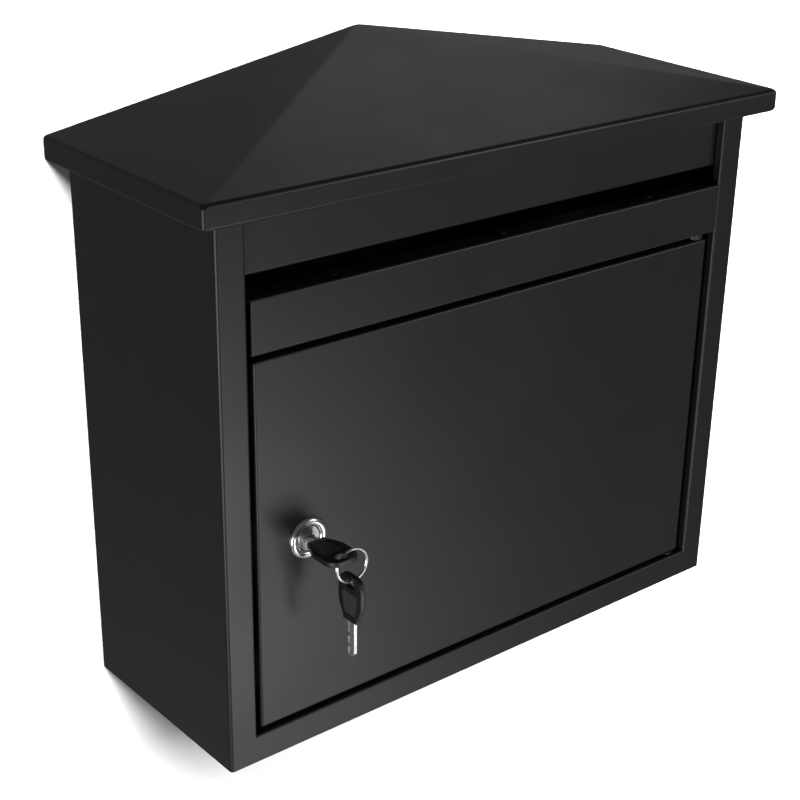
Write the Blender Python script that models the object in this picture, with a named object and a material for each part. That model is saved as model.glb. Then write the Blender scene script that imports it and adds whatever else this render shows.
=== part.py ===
"""Wall mounted mailbox: folded steel box, half-pyramid roof, side-hinged door with cam lock and keys.

Metres, +Z up. The origin is the centre of the back panel's outer face, which lies on the wall (plane Y = 0).
The front faces -Y, and +X is to the right as a person stands in front of the box.
"""

import math

import bmesh
import bpy
from mathutils import Matrix, Vector

MM = 0.001

# ---- driving dimensions -----------------------------------------------------------------------------------
BOX_WIDTH = 360.0 * MM
BOX_DEPTH = 130.0 * MM
BOTTOM_Z = -150.0 * MM  # underside of the box, below the origin
EAVES_Z = 147.0 * MM  # top of the walls, under the roof
SHEET = 1.2 * MM
GAP = 0.3 * MM  # air between pieces that touch
BEND = 2.0 * MM  # outer radius of the front corners
EDGE_BEND = 1.5 * MM  # outer radius of folded edges

ROOF_SIDE_OVERHANG = 13.2 * MM
ROOF_FRONT_OVERHANG = 11.6 * MM
ROOF_LIP_TOP_Z = 160.0 * MM
ROOF_LIP_HEIGHT = 12.5 * MM
ROOF_APEX_Z = 193.6 * MM
ROOF_BACK_GAP = 0.6 * MM  # roof's rear edge to the wall
ROOF_RETURN_SIDE_X = 165.0 * MM  # inner edge of the folded-under flange
ROOF_RETURN_FRONT_Y = -110.0 * MM

POST_WIDTH = 16.5 * MM  # front frame, left and right
RAIL_HEIGHT = 16.2 * MM  # front frame, bottom
POST_RETURN = 5.3 * MM  # depth of the posts' folded inner edges
RAIL_RETURN = 14.0 * MM

HEADER_SETBACK = 5.8 * MM  # header panel behind the front face
HEADER_BOTTOM_Z = 116.3 * MM
SLOT_RAIL_TOP_Z = 106.5 * MM
SLOT_RAIL_BOTTOM_Z = 77.9 * MM
SLOT_RAIL_LEFT_X = -161.3 * MM
SLOT_RAIL_RIGHT_X = 162.7 * MM
CHANNEL_DEPTH = 12.0 * MM

DOOR_WIDTH = 318.4 * MM
DOOR_BOTTOM_Z = -132.0 * MM
DOOR_TOP_Z = 74.2 * MM
DOOR_SETBACK = 2.0 * MM
DOOR_DEPTH = 12.0 * MM

HINGE_X = 153.0 * MM
HINGE_SETBACK = 7.0 * MM  # hinge axis behind the front face
PIN_RADIUS = 2.0 * MM
PIN_CLEARANCE = 0.35 * MM

LOCK_X = -129.0 * MM
LOCK_Z = -28.5 * MM
BEZEL_RADIUS = 11.5 * MM
BEZEL_THICKNESS = 2.5 * MM
BARREL_RADIUS = 9.1 * MM
BARREL_LENGTH = 17.0 * MM  # behind the bezel
PLUG_RADIUS = 6.6 * MM
CAM_LENGTH = 42.0 * MM

KEY_THICKNESS = 1.8 * MM
KEY_BLADE_WIDTH = 6.4 * MM
KEY_HOLE_TO_TIP = 42.5 * MM
KEY_HOLE_TO_SHOULDER = 21.5 * MM
KEY_HOLE_TO_END = 5.0 * MM
KEY_BOW_WIDTH = 19.0 * MM
KEY_BOW_THICKNESS = 3.2 * MM
KEY_HOLE_STANDOFF = 26.0 * MM  # eye of the inserted key, in front of the bezel

RING_RADIUS = 9.3 * MM  # to the middle of the wire
RING_WIRE = 2.0 * MM
RING_OFFSET_X = 6.6 * MM  # ring's centre from the inserted key's eye
RING_OFFSET_Z = -6.0 * MM

MOUNTING_HOLE_X = 125.0 * MM
MOUNTING_HOLE_TOP_Z = 95.0 * MM
MOUNTING_HOLE_BOTTOM_Z = -100.0 * MM
MOUNTING_HOLE_RADIUS = 3.5 * MM
DRAIN_HOLE_RADIUS = 2.5 * MM

# ---- places worked out from them --------------------------------------------------------------------------
HALF = BOX_WIDTH / 2
FRONT_Y = -BOX_DEPTH
OPENING_X = HALF - POST_WIDTH
RAIL_TOP_Z = BOTTOM_Z + RAIL_HEIGHT
HEADER_Y = FRONT_Y + HEADER_SETBACK
DOOR_Y = FRONT_Y + DOOR_SETBACK
HINGE_Y = FRONT_Y + HINGE_SETBACK
BEZEL_Y = DOOR_Y - BEZEL_THICKNESS
PLUG_END_Y = DOOR_Y + BARREL_LENGTH + GAP
CAM_THICKNESS = 2.0 * MM
CAM_Y = PLUG_END_Y + GAP
EYE = Vector((LOCK_X, BEZEL_Y - KEY_HOLE_STANDOFF, LOCK_Z))
RING_CENTRE = EYE + Vector((RING_OFFSET_X, 0, RING_OFFSET_Z))
SPARE_EYE = RING_CENTRE - Vector((0, 0, RING_RADIUS))
GUARD_RIVET_Y = FRONT_Y + 7.0 * MM
ROOF_SCREW_SIDE_X = 171.5 * MM
SCREW_HOLE_RADIUS = 2.4 * MM
RIVET_HOLE_RADIUS = 2.0 * MM
ROOF_SCREW_FRONT_Y = -117.5 * MM

STEEL_BLACK = ("black_powder_coat", (0.021, 0.022, 0.021), 0.0, 0.42)
CHROME = ("chrome_plate", (0.78, 0.78, 0.77), 1.0, 0.12)
ZINC = ("zinc_plate", (0.55, 0.56, 0.55), 1.0, 0.34)
NICKEL = ("nickel_plate", (0.72, 0.70, 0.66), 1.0, 0.22)
BOW_PLASTIC = ("black_plastic", (0.012, 0.012, 0.013), 0.0, 0.38)
NYLON = ("white_nylon", (0.72, 0.71, 0.66), 0.0, 0.50)
RUBBER = ("black_rubber", (0.018, 0.018, 0.018), 0.0, 0.80)


# ---- helpers ----------------------------------------------------------------------------------------------
def clear_scene():
    for obj in list(bpy.data.objects):
        bpy.data.objects.remove(obj, do_unlink=True)


def material_for(name, finish):
    """A Principled material of its own for one piece."""
    finish_name, colour, metallic, roughness = finish
    mat = bpy.data.materials.new(f"{name}_{finish_name}")
    mat.use_nodes = True
    shader = mat.node_tree.nodes["Principled BSDF"]
    shader.inputs["Base Color"].default_value = (*colour, 1.0)
    shader.inputs["Metallic"].default_value = metallic
    shader.inputs["Roughness"].default_value = roughness
    return mat


def arc(centre, radius, start_deg, end_deg, steps):
    """Points of a round stretch in a plane, ends included."""
    points = []
    for i in range(steps + 1):
        angle = math.radians(start_deg + (end_deg - start_deg) * i / steps)
        points.append((centre[0] + radius * math.cos(angle), centre[1] + radius * math.sin(angle)))
    return points


def prism(outline, start, end, axis):
    """Extrude a closed 2D outline along X, Y or Z; the outline's axes are the other two, in XYZ order."""
    bm = bmesh.new()
    place = {
        "X": lambda u, v, w: (w, u, v),
        "Y": lambda u, v, w: (u, w, v),
        "Z": lambda u, v, w: (u, v, w),
    }[axis]
    face = bm.faces.new([bm.verts.new(place(u, v, start)) for u, v in outline])
    grown = bmesh.ops.extrude_face_region(bm, geom=[face])
    shift = Vector(place(0.0, 0.0, end - start))
    bmesh.ops.translate(bm, vec=shift, verts=[g for g in grown["geom"] if isinstance(g, bmesh.types.BMVert)])
    bmesh.ops.recalc_face_normals(bm, faces=bm.faces)
    return bm


def box(lo, hi):
    bm = bmesh.new()
    size = Vector(hi) - Vector(lo)
    middle = (Vector(hi) + Vector(lo)) / 2
    bmesh.ops.create_cube(bm, size=1.0, matrix=Matrix.Translation(middle) @ Matrix.Diagonal((*size, 1.0)))
    return bm


def cylinder(centre, radius, start, end, axis, segments=24):
    """A solid cylinder along an axis; centre gives the two other coordinates, in XYZ order."""
    return prism(arc(centre, radius, 0, 360 - 360 / segments, segments - 1), start, end, axis)


def hexagon(centre, across_flats, start, end, axis):
    radius = across_flats / math.sqrt(3)
    return prism(arc(centre, radius, 0, 300, 5), start, end, axis)


def joined(parts):
    """One bmesh holding several closed bodies, to be used as a cutter."""
    whole = bmesh.new()
    for part in parts:
        scratch = bpy.data.meshes.new("scratch")
        part.to_mesh(scratch)
        part.free()
        whole.from_mesh(scratch)
        bpy.data.meshes.remove(scratch)
    return whole


def link(name, bm, origin=(0, 0, 0), parent=None):
    """Make an object whose mesh is given in world coordinates and whose origin is placed as asked."""
    bmesh.ops.translate(bm, vec=-Vector(origin), verts=bm.verts)
    mesh = bpy.data.meshes.new(name)
    bm.to_mesh(mesh)
    bm.free()
    obj = bpy.data.objects.new(name, mesh)
    bpy.context.scene.collection.objects.link(obj)
    obj.location = origin
    if parent is not None:
        bpy.context.view_layer.update()
        obj.parent = parent
        obj.matrix_parent_inverse = parent.matrix_world.inverted()
    return obj


def pivot(name, place, parent=None):
    """An empty on a joint's axis."""
    empty = bpy.data.objects.new(name, None)
    empty.empty_display_size = 0.01
    bpy.context.scene.collection.objects.link(empty)
    empty.location = place
    if parent is not None:
        bpy.context.view_layer.update()
        empty.parent = parent
        empty.matrix_parent_inverse = parent.matrix_world.inverted()
    bpy.context.view_layer.update()
    return empty


def combine(obj, operation, bm, label):
    """Add a live Boolean whose operand is hidden from render."""
    tool = link(f"{obj.name}_{label}", bm, origin=(0, 0, 0))
    tool.display_type = "WIRE"
    tool.hide_render = True
    if obj.parent is not None:
        bpy.context.view_layer.update()
        tool.parent = obj.parent
        tool.matrix_parent_inverse = obj.parent.matrix_world.inverted()
    boolean = obj.modifiers.new(label, "BOOLEAN")
    boolean.operation = operation
    boolean.object = tool
    boolean.solver = "EXACT"
    return tool


def finish(obj, look, smooth_deg=None):
    obj.data.materials.append(material_for(obj.name, look))
    if smooth_deg is not None:
        obj.data.shade_smooth()
        obj.data.set_sharp_from_angle(angle=math.radians(smooth_deg))
    return obj


def bevel_edges(bm, edges, width, segments):
    bmesh.ops.bevel(
        bm, geom=edges, offset=width, offset_type="OFFSET", segments=segments, profile=0.5,
        affect="EDGES", clamp_overlap=True, material=-1,
    )


def folded(path, radii, steps=4):
    """Outline of a folded sheet in its cross-section plane.

    The path follows one face of the sheet, whose thickness lies on the left of the direction of travel; radii
    are the bends' larger radii, one for each inner point of the path.
    """
    points = [Vector(p) for p in path]
    legs = [(b - a).normalized() for a, b in zip(points, points[1:])]
    left = [Vector((-d.y, d.x)) for d in legs]
    near = [points[0]]
    far = [points[0] + left[0] * SHEET]
    for i, radius in enumerate(radii):
        corner, before, after = points[i + 1], legs[i], legs[i + 1]
        turn = before.angle_signed(after) * -1.0  # positive to the left
        side = 1.0 if turn > 0 else -1.0
        face_radius = radius if side > 0 else radius - SHEET
        back_radius = face_radius - side * SHEET
        setback = face_radius * math.tan(abs(turn) / 2)
        centre = corner - before * setback + left[i] * side * face_radius
        for k in range(steps + 1):
            spoke = -side * left[i]
            spoke.rotate(Matrix.Rotation(turn * k / steps, 2))
            near.append(centre + spoke * face_radius)
            far.append(centre + spoke * back_radius)
    near.append(points[-1])
    far.append(points[-1] + left[-1] * SHEET)
    return [tuple(p) for p in near + far[::-1]]


def turned(profile, centre, axis, closed=False, segments=32):
    """Spin a (radius, height) profile about an axis; centre gives the two other coordinates, in XYZ order."""
    bm = bmesh.new()
    verts = [bm.verts.new((r, 0.0, h)) for r, h in profile]
    pairs = list(zip(verts, verts[1:])) + ([(verts[-1], verts[0])] if closed else [])
    edges = [bm.edges.new(pair) for pair in pairs]
    bmesh.ops.spin(
        bm, geom=verts + edges, cent=(0, 0, 0), axis=(0, 0, 1), angle=math.tau, steps=segments,
        use_merge=True, use_duplicate=False,
    )
    bmesh.ops.remove_doubles(bm, verts=bm.verts, dist=1e-7)
    quarter = math.pi / 2
    turn = {
        "X": Matrix.Rotation(quarter, 4, "Y"),
        "Y": Matrix.Rotation(-quarter, 4, "X"),
        "Z": Matrix.Identity(4),
    }[axis]
    u, v = centre
    shift = {"X": (0, u, v), "Y": (u, 0, v), "Z": (u, v, 0)}[axis]
    bmesh.ops.transform(bm, matrix=Matrix.Translation(shift) @ turn, verts=bm.verts)
    bmesh.ops.recalc_face_normals(bm, faces=bm.faces)
    return bm


def sheet_from_faces(name, corners, faces, outward, radius, parent=None, origin=(0, 0, 0)):
    """A folded sheet from flat faces: every inner edge is bent, and the thickness goes inwards.

    outward is the direction that the first face looks to.
    """
    bm = bmesh.new()
    verts = [bm.verts.new(c) for c in corners]
    first = [bm.faces.new([verts[i] for i in face]) for face in faces][0]
    bmesh.ops.recalc_face_normals(bm, faces=bm.faces)
    if first.normal.dot(Vector(outward)) < 0:
        bmesh.ops.reverse_faces(bm, faces=bm.faces)
    bevel_edges(bm, [e for e in bm.edges if len(e.link_faces) == 2], radius, 3)
    obj = link(name, bm, origin, parent)
    solid = obj.modifiers.new("thickness", "SOLIDIFY")
    solid.thickness = SHEET
    solid.offset = -1.0
    solid.use_even_offset = True
    solid.use_quality_normals = True
    return obj


# ---- casing -----------------------------------------------------------------------------------------------
def build_body_shell():
    """Left wall, front frame and right wall, folded from one sheet."""
    rear = -GAP
    return_end = FRONT_Y + POST_RETURN
    left_post = folded(
        [(-HALF, rear), (-HALF, FRONT_Y), (-OPENING_X, FRONT_Y), (-OPENING_X, return_end)], [BEND, EDGE_BEND],
    )
    right_post = folded(
        [(OPENING_X, return_end), (OPENING_X, FRONT_Y), (HALF, FRONT_Y), (HALF, rear)], [EDGE_BEND, BEND],
    )
    rail = folded(
        [(FRONT_Y + RAIL_RETURN, RAIL_TOP_Z), (FRONT_Y, RAIL_TOP_Z), (FRONT_Y, BOTTOM_Z)], [EDGE_BEND],
    )
    shell = link("body_shell", prism(left_post, BOTTOM_Z, EAVES_Z, "Z"))
    combine(shell, "UNION", prism(right_post, BOTTOM_Z, EAVES_Z, "Z"), "right_post")
    rail_end = HALF - BEND
    combine(shell, "UNION", prism(rail, -rail_end, rail_end, "X"), "rail")
    flange_front, flange_rear = -108.0 * MM, -12.0 * MM
    for side in (-1, 1):
        inner, outer = sorted((side * ROOF_RETURN_SIDE_X, side * (HALF - SHEET / 2)))
        flange = box((inner, flange_front, EAVES_Z - SHEET), (outer, flange_rear, EAVES_Z))
        combine(shell, "UNION", flange, f"flange_{'left' if side < 0 else 'right'}")
    holes = [
        cylinder((x, y), SCREW_HOLE_RADIUS, EAVES_Z - 3 * SHEET, EAVES_Z + SHEET, "Z", 16)
        for x, y, _ in roof_screw_places() if abs(x) > ROOF_RETURN_SIDE_X
    ]
    holes.append(cylinder((HINGE_X, HINGE_Y), 4.0 * MM, RAIL_TOP_Z - 3 * SHEET, RAIL_TOP_Z + SHEET, "Z"))
    for side in (-1, 1):  # the posts' folded edges stop above the floor
        x = side * (OPENING_X + SHEET / 2)
        low = (x - 2 * SHEET, FRONT_Y + SHEET + 0.1 * MM, BOTTOM_Z - SHEET)
        holes.append(box(low, (x + 2 * SHEET, return_end + SHEET, RAIL_TOP_Z - 3.0 * MM)))
    combine(shell, "DIFFERENCE", joined(holes), "holes")
    return finish(shell, STEEL_BLACK)


def build_back_panel():
    """House-shaped plate with folded side flanges and four holes for the wall screws."""
    edge = HALF - SHEET - 0.4 * MM
    low, top = BOTTOM_Z + GAP, EAVES_Z - 0.2 * MM
    neck = ROOF_RETURN_SIDE_X - 0.8 * MM
    slope = (ROOF_APEX_Z - ROOF_LIP_TOP_Z) / (HALF + ROOF_SIDE_OVERHANG)
    under_roof = 2.2 * MM
    apex = ROOF_APEX_Z - under_roof
    shoulder = apex - slope * neck
    flange_depth = 10.0 * MM
    flange_low = low + 12.0 * MM
    corners = [
        (-edge, 0, flange_low), (-edge, 0, low), (edge, 0, low), (edge, 0, flange_low), (edge, 0, top),
        (neck, 0, top), (neck, 0, shoulder), (0, 0, apex),
        (-neck, 0, shoulder), (-neck, 0, top), (-edge, 0, top),
        (-edge, -flange_depth, flange_low), (-edge, -flange_depth, top),
        (edge, -flange_depth, flange_low), (edge, -flange_depth, top),
    ]
    faces = [(0, 1, 2, 3, 4, 5, 6, 7, 8, 9, 10), (0, 10, 12, 11), (4, 3, 13, 14)]
    panel = sheet_from_faces("back_panel", corners, faces, (0, 1, 0), EDGE_BEND)
    holes = [
        cylinder((x, z), MOUNTING_HOLE_RADIUS, -3 * SHEET, SHEET, "Y")
        for x in (-MOUNTING_HOLE_X, MOUNTING_HOLE_X) for z in (MOUNTING_HOLE_BOTTOM_Z, MOUNTING_HOLE_TOP_Z)
    ]
    combine(panel, "DIFFERENCE", joined(holes), "holes")
    return finish(panel, STEEL_BLACK)


def build_floor_panel():
    """Tray-shaped bottom with upturned edges and drain holes."""
    x = HALF - SHEET - 0.4 * MM
    front, rear = FRONT_Y + SHEET + 0.4 * MM, -SHEET - 0.4 * MM
    low, high = BOTTOM_Z, BOTTOM_Z + 10.0 * MM
    inset = 2.5 * MM  # open corners between the upturned edges
    corners = [
        (-x, front, low), (x, front, low), (x, rear, low), (-x, rear, low),
        (-x + inset, front, high), (x - inset, front, high),
        (x, front + inset, high), (x, rear - inset, high),
        (x - inset, rear, high), (-x + inset, rear, high),
        (-x, rear - inset, high), (-x, front + inset, high),
        (-x + inset, front, low), (x - inset, front, low),
        (x, front + inset, low), (x, rear - inset, low),
        (x - inset, rear, low), (-x + inset, rear, low),
        (-x, rear - inset, low), (-x, front + inset, low),
    ]
    plate = (12, 13, 14, 15, 16, 17, 18, 19)
    upturns = [(12, 4, 5, 13), (14, 6, 7, 15), (16, 8, 9, 17), (18, 10, 11, 19)]
    panel = sheet_from_faces("floor_panel", corners, [plate] + upturns, (0, 0, -1), EDGE_BEND)
    holes = [
        cylinder((sx * 140.0 * MM, y), DRAIN_HOLE_RADIUS, low - SHEET, low + 3 * SHEET, "Z", 16)
        for sx in (-1, 1) for y in (-105.0 * MM, -25.0 * MM)
    ]
    combine(panel, "DIFFERENCE", joined(holes), "drain_holes")
    return finish(panel, STEEL_BLACK)


def roof_screw_places():
    """X, Y and label of the six screws that hold the roof's folded-under flange."""
    places = []
    for side, name in ((-1, "left"), (1, "right")):
        places.append((side * ROOF_SCREW_SIDE_X, -95.0 * MM, f"{name}_front"))
        places.append((side * ROOF_SCREW_SIDE_X, -30.0 * MM, f"{name}_rear"))
        places.append((side * 80.0 * MM, ROOF_SCREW_FRONT_Y, f"front_{name}"))
    return places


def build_roof_cap():
    """Half pyramid against the wall, with a lip and a flange folded back under it."""
    x, y = HALF + ROOF_SIDE_OVERHANG, FRONT_Y - ROOF_FRONT_OVERHANG
    wall, past = -ROOF_BACK_GAP, 10.0 * MM  # modelled past the wall plane, then cut off along it
    top, low = ROOF_LIP_TOP_Z, ROOF_LIP_TOP_Z - ROOF_LIP_HEIGHT
    in_x, in_y = ROOF_RETURN_SIDE_X, ROOF_RETURN_FRONT_Y
    corners = [
        (0, wall, ROOF_APEX_Z), (0, past, ROOF_APEX_Z),
        (-x, past, top), (-x, y, top), (x, y, top), (x, past, top),
        (-x, past, low), (-x, y, low), (x, y, low), (x, past, low),
        (-in_x, past, low), (-in_x, in_y, low), (in_x, in_y, low), (in_x, past, low),
    ]
    faces = [
        (0, 3, 4), (0, 1, 2, 3), (0, 4, 5, 1),
        (2, 6, 7, 3), (3, 7, 8, 4), (4, 8, 9, 5),
        (6, 10, 11, 7), (7, 11, 12, 8), (8, 12, 13, 9),
    ]
    roof = sheet_from_faces("roof_cap", corners, faces, (0, -1, 1), 2.2 * MM)
    cuts = [
        cylinder((sx, sy), SCREW_HOLE_RADIUS, low - SHEET, low + 3 * SHEET, "Z", 16)
        for sx, sy, _ in roof_screw_places()
    ]
    cuts.append(box((-x - past, wall, low - past), (x + past, 2 * past, ROOF_APEX_Z + past)))
    combine(roof, "DIFFERENCE", joined(cuts), "cuts")
    return finish(roof, STEEL_BLACK)


def build_front_header():
    """Panel above the mail slot, set back behind the posts."""
    rear = HEADER_Y + CHANNEL_DEPTH
    path = [(rear, EAVES_Z), (HEADER_Y, EAVES_Z), (HEADER_Y, HEADER_BOTTOM_Z), (rear, HEADER_BOTTOM_Z)]
    half_length = HALF - SHEET - 1.0 * MM
    header = link("front_header", prism(folded(path, [EDGE_BEND] * 2), -half_length, half_length, "X"))
    holes = [
        cylinder((x, y), SCREW_HOLE_RADIUS, EAVES_Z - 3 * SHEET, EAVES_Z + SHEET, "Z", 16)
        for x, y, _ in roof_screw_places() if abs(x) < ROOF_RETURN_SIDE_X
    ]
    combine(header, "DIFFERENCE", joined(holes), "holes")
    return finish(header, STEEL_BLACK)


def build_slot_rail():
    """Channel between the mail slot and the door, with ears that reach the side walls behind the posts."""
    rear = FRONT_Y + CHANNEL_DEPTH
    path = [
        (rear, SLOT_RAIL_TOP_Z), (FRONT_Y, SLOT_RAIL_TOP_Z),
        (FRONT_Y, SLOT_RAIL_BOTTOM_Z), (rear, SLOT_RAIL_BOTTOM_Z),
    ]
    channel = prism(folded(path, [EDGE_BEND] * 2), SLOT_RAIL_LEFT_X, SLOT_RAIL_RIGHT_X, "X")
    rail = link("slot_rail", channel)
    ear_front = FRONT_Y + POST_RETURN + 0.5 * MM
    ear_end = HALF - SHEET - 0.4 * MM
    for label, z in (("upper_ears", SLOT_RAIL_TOP_Z - SHEET), ("lower_ears", SLOT_RAIL_BOTTOM_Z)):
        combine(rail, "UNION", box((-ear_end, ear_front, z), (ear_end, rear, z + SHEET)), label)
    low, high = SLOT_RAIL_BOTTOM_Z, SLOT_RAIL_TOP_Z
    holes = [
        cylinder((x, GUARD_RIVET_Y), RIVET_HOLE_RADIUS, high - 3 * SHEET, high + SHEET, "Z", 16)
        for x in guard_rivet_places()
    ]
    bush_hole = cylinder((HINGE_X, HINGE_Y), 4.0 * MM, low - SHEET, low + 3 * SHEET, "Z")
    combine(rail, "DIFFERENCE", joined(holes + [bush_hole]), "holes")
    return finish(rail, STEEL_BLACK)


def guard_rivet_places():
    return (-110.0 * MM, 0.0, 110.0 * MM)


def build_slot_guard():
    """Sloping plate behind the slot: letters slide over it, and a hand can't reach down past it."""
    top = SLOT_RAIL_TOP_Z - SHEET - GAP
    path = [(-75.0 * MM, 80.0 * MM), (-116.0 * MM, top), (FRONT_Y + 2.5 * MM, top)]
    half_length = OPENING_X - 2.5 * MM
    guard = link("slot_guard", prism(folded(path, [EDGE_BEND]), -half_length, half_length, "X"))
    holes = [
        cylinder((x, GUARD_RIVET_Y), RIVET_HOLE_RADIUS, top - 3 * SHEET, top + SHEET, "Z", 16)
        for x in guard_rivet_places()
    ]
    combine(guard, "DIFFERENCE", joined(holes), "holes")
    return finish(guard, STEEL_BLACK)


def build_guard_rivets():
    head_low = SLOT_RAIL_TOP_Z + GAP
    tail_high = SLOT_RAIL_TOP_Z - 2 * SHEET - 2 * GAP
    profile = [
        (0, tail_high - 1.4 * MM), (2.4 * MM, tail_high - 1.4 * MM), (2.4 * MM, tail_high),
        (1.6 * MM, tail_high), (1.6 * MM, head_low), (3.2 * MM, head_low),
        (2.4 * MM, head_low + 0.8 * MM), (1.2 * MM, head_low + 1.1 * MM), (0, head_low + 1.1 * MM),
    ]
    for i, x in enumerate(guard_rivet_places()):
        rivet = link(f"guard_rivet_{i + 1}", turned(profile, (x, GUARD_RIVET_Y), "Z", segments=16))
        finish(rivet, ZINC, 35)


def build_roof_fasteners():
    """Pan-head screws from below and hexagon nuts on top of the roof's folded-under flange."""
    head_top = EAVES_Z - SHEET - GAP
    nut_low = ROOF_LIP_TOP_Z - ROOF_LIP_HEIGHT + SHEET + GAP
    screw = [
        (0, head_top - 2.4 * MM), (2.6 * MM, head_top - 2.4 * MM), (3.6 * MM, head_top - 1.4 * MM),
        (3.6 * MM, head_top), (1.9 * MM, head_top), (1.9 * MM, nut_low + 5.0 * MM), (0, nut_low + 5.0 * MM),
    ]
    for x, y, label in roof_screw_places():
        finish(link(f"roof_screw_{label}", turned(screw, (x, y), "Z", segments=16)), ZINC, 35)
        nut = link(f"roof_nut_{label}", hexagon((x, y), 7.0 * MM, nut_low, nut_low + 3.2 * MM, "Z"))
        bore = cylinder((x, y), 2.25 * MM, nut_low - SHEET, nut_low + 5 * MM, "Z", 16)
        combine(nut, "DIFFERENCE", bore, "bore")
        finish(nut, ZINC)


def build_left_wall_brackets():
    """Keeper for the lock's cam, and two stops with rubber pads that the closed door rests on."""
    wall = -(HALF - SHEET - GAP)
    leg_front = CAM_Y - 3.0 * MM - SHEET
    keeper = folded(
        [(wall, -92.0 * MM), (wall, leg_front), (-161.5 * MM, leg_front)], [EDGE_BEND],
    )
    bracket = link("strike_bracket", prism(keeper, LOCK_Z - 14 * MM, LOCK_Z + 14 * MM, "Z"))
    finish(bracket, ZINC)
    door_rear = DOOR_Y + DOOR_DEPTH
    pad_front = door_rear + 0.4 * MM
    pad_thickness = 1.6 * MM
    stop_front = pad_front + pad_thickness + GAP
    for label, z in (("upper", 48.0 * MM), ("lower", -105.0 * MM)):
        stop = folded([(wall, -95.0 * MM), (wall, stop_front), (-151.0 * MM, stop_front)], [EDGE_BEND])
        finish(link(f"stop_bracket_{label}", prism(stop, z - 9 * MM, z + 9 * MM, "Z")), ZINC)
        pad = [
            (0, pad_front), (3.4 * MM, pad_front), (4.0 * MM, pad_front + 0.6 * MM),
            (4.0 * MM, pad_front + pad_thickness), (0, pad_front + pad_thickness),
        ]
        centre = (-156.5 * MM, z)
        finish(link(f"stop_pad_{label}", turned(pad, centre, "Y", segments=24)), RUBBER, 35)


# ---- door -------------------------------------------------------------------------------------------------
def build_door(hinge):
    """Pan-shaped door; its origin is on the hinge axis."""
    x, low, high = DOOR_WIDTH / 2, DOOR_BOTTOM_Z, DOOR_TOP_Z
    front, rear = DOOR_Y, DOOR_Y + DOOR_DEPTH
    corners = [
        (-x, front, low), (x, front, low), (x, front, high), (-x, front, high),
        (-x, rear, low), (x, rear, low), (x, rear, high), (-x, rear, high),
    ]
    faces = [(0, 1, 2, 3), (0, 4, 5, 1), (1, 5, 6, 2), (2, 6, 7, 3), (3, 7, 4, 0)]
    origin = hinge.matrix_world.translation
    door = sheet_from_faces("door_panel", corners, faces, (0, -1, 0), EDGE_BEND, parent=hinge, origin=origin)
    holes = [
        cylinder((LOCK_X, LOCK_Z), BARREL_RADIUS + PIN_CLEARANCE, front - SHEET, front + 3 * SHEET, "Y", 32),
        cylinder((HINGE_X, HINGE_Y), PIN_RADIUS + PIN_CLEARANCE, low - SHEET, low + 3 * SHEET, "Z", 16),
        cylinder((HINGE_X, HINGE_Y), PIN_RADIUS + PIN_CLEARANCE, high - 3 * SHEET, high + SHEET, "Z", 16),
    ]
    combine(door, "DIFFERENCE", joined(holes), "holes")
    finish(door, STEEL_BLACK)


def build_hinge_pins(hinge):
    """Headed pins through the door's folded edges, turning in nylon bushes in the frame."""
    origin = hinge.matrix_world.translation
    ends = (
        ("upper", 1, DOOR_TOP_Z - SHEET, SLOT_RAIL_BOTTOM_Z, SHEET),
        ("lower", -1, DOOR_BOTTOM_Z + SHEET, RAIL_TOP_Z, SHEET),
    )
    for label, way, under, frame, frame_sheet in ends:
        head = under - way * GAP
        door_face = under + way * SHEET
        tip = frame + way * (frame_sheet + 3.0 * MM)
        pin = [
            (0, head - way * 1.3 * MM), (2.6 * MM, head - way * 1.3 * MM), (3.2 * MM, head - way * 0.8 * MM),
            (3.2 * MM, head), (PIN_RADIUS, head), (PIN_RADIUS, tip - way * 0.6 * MM),
            (PIN_RADIUS - 0.6 * MM, tip), (0, tip),
        ]
        piece = link(f"hinge_pin_{label}", turned(pin, (HINGE_X, HINGE_Y), "Z", segments=24), origin, hinge)
        finish(piece, ZINC, 35)
        bore = PIN_RADIUS + PIN_CLEARANCE
        collar_low, collar_high = door_face + way * 0.4 * MM, frame - way * GAP
        sleeve_end = frame + way * (frame_sheet + 1.0 * MM)
        bush = [
            (bore, collar_low), (5.2 * MM, collar_low), (5.2 * MM, collar_high), (3.6 * MM, collar_high),
            (3.6 * MM, sleeve_end), (bore, sleeve_end),
        ]
        piece = link(f"hinge_bush_{label}", turned(bush, (HINGE_X, HINGE_Y), "Z", closed=True, segments=24))
        finish(piece, NYLON, 35)


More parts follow.
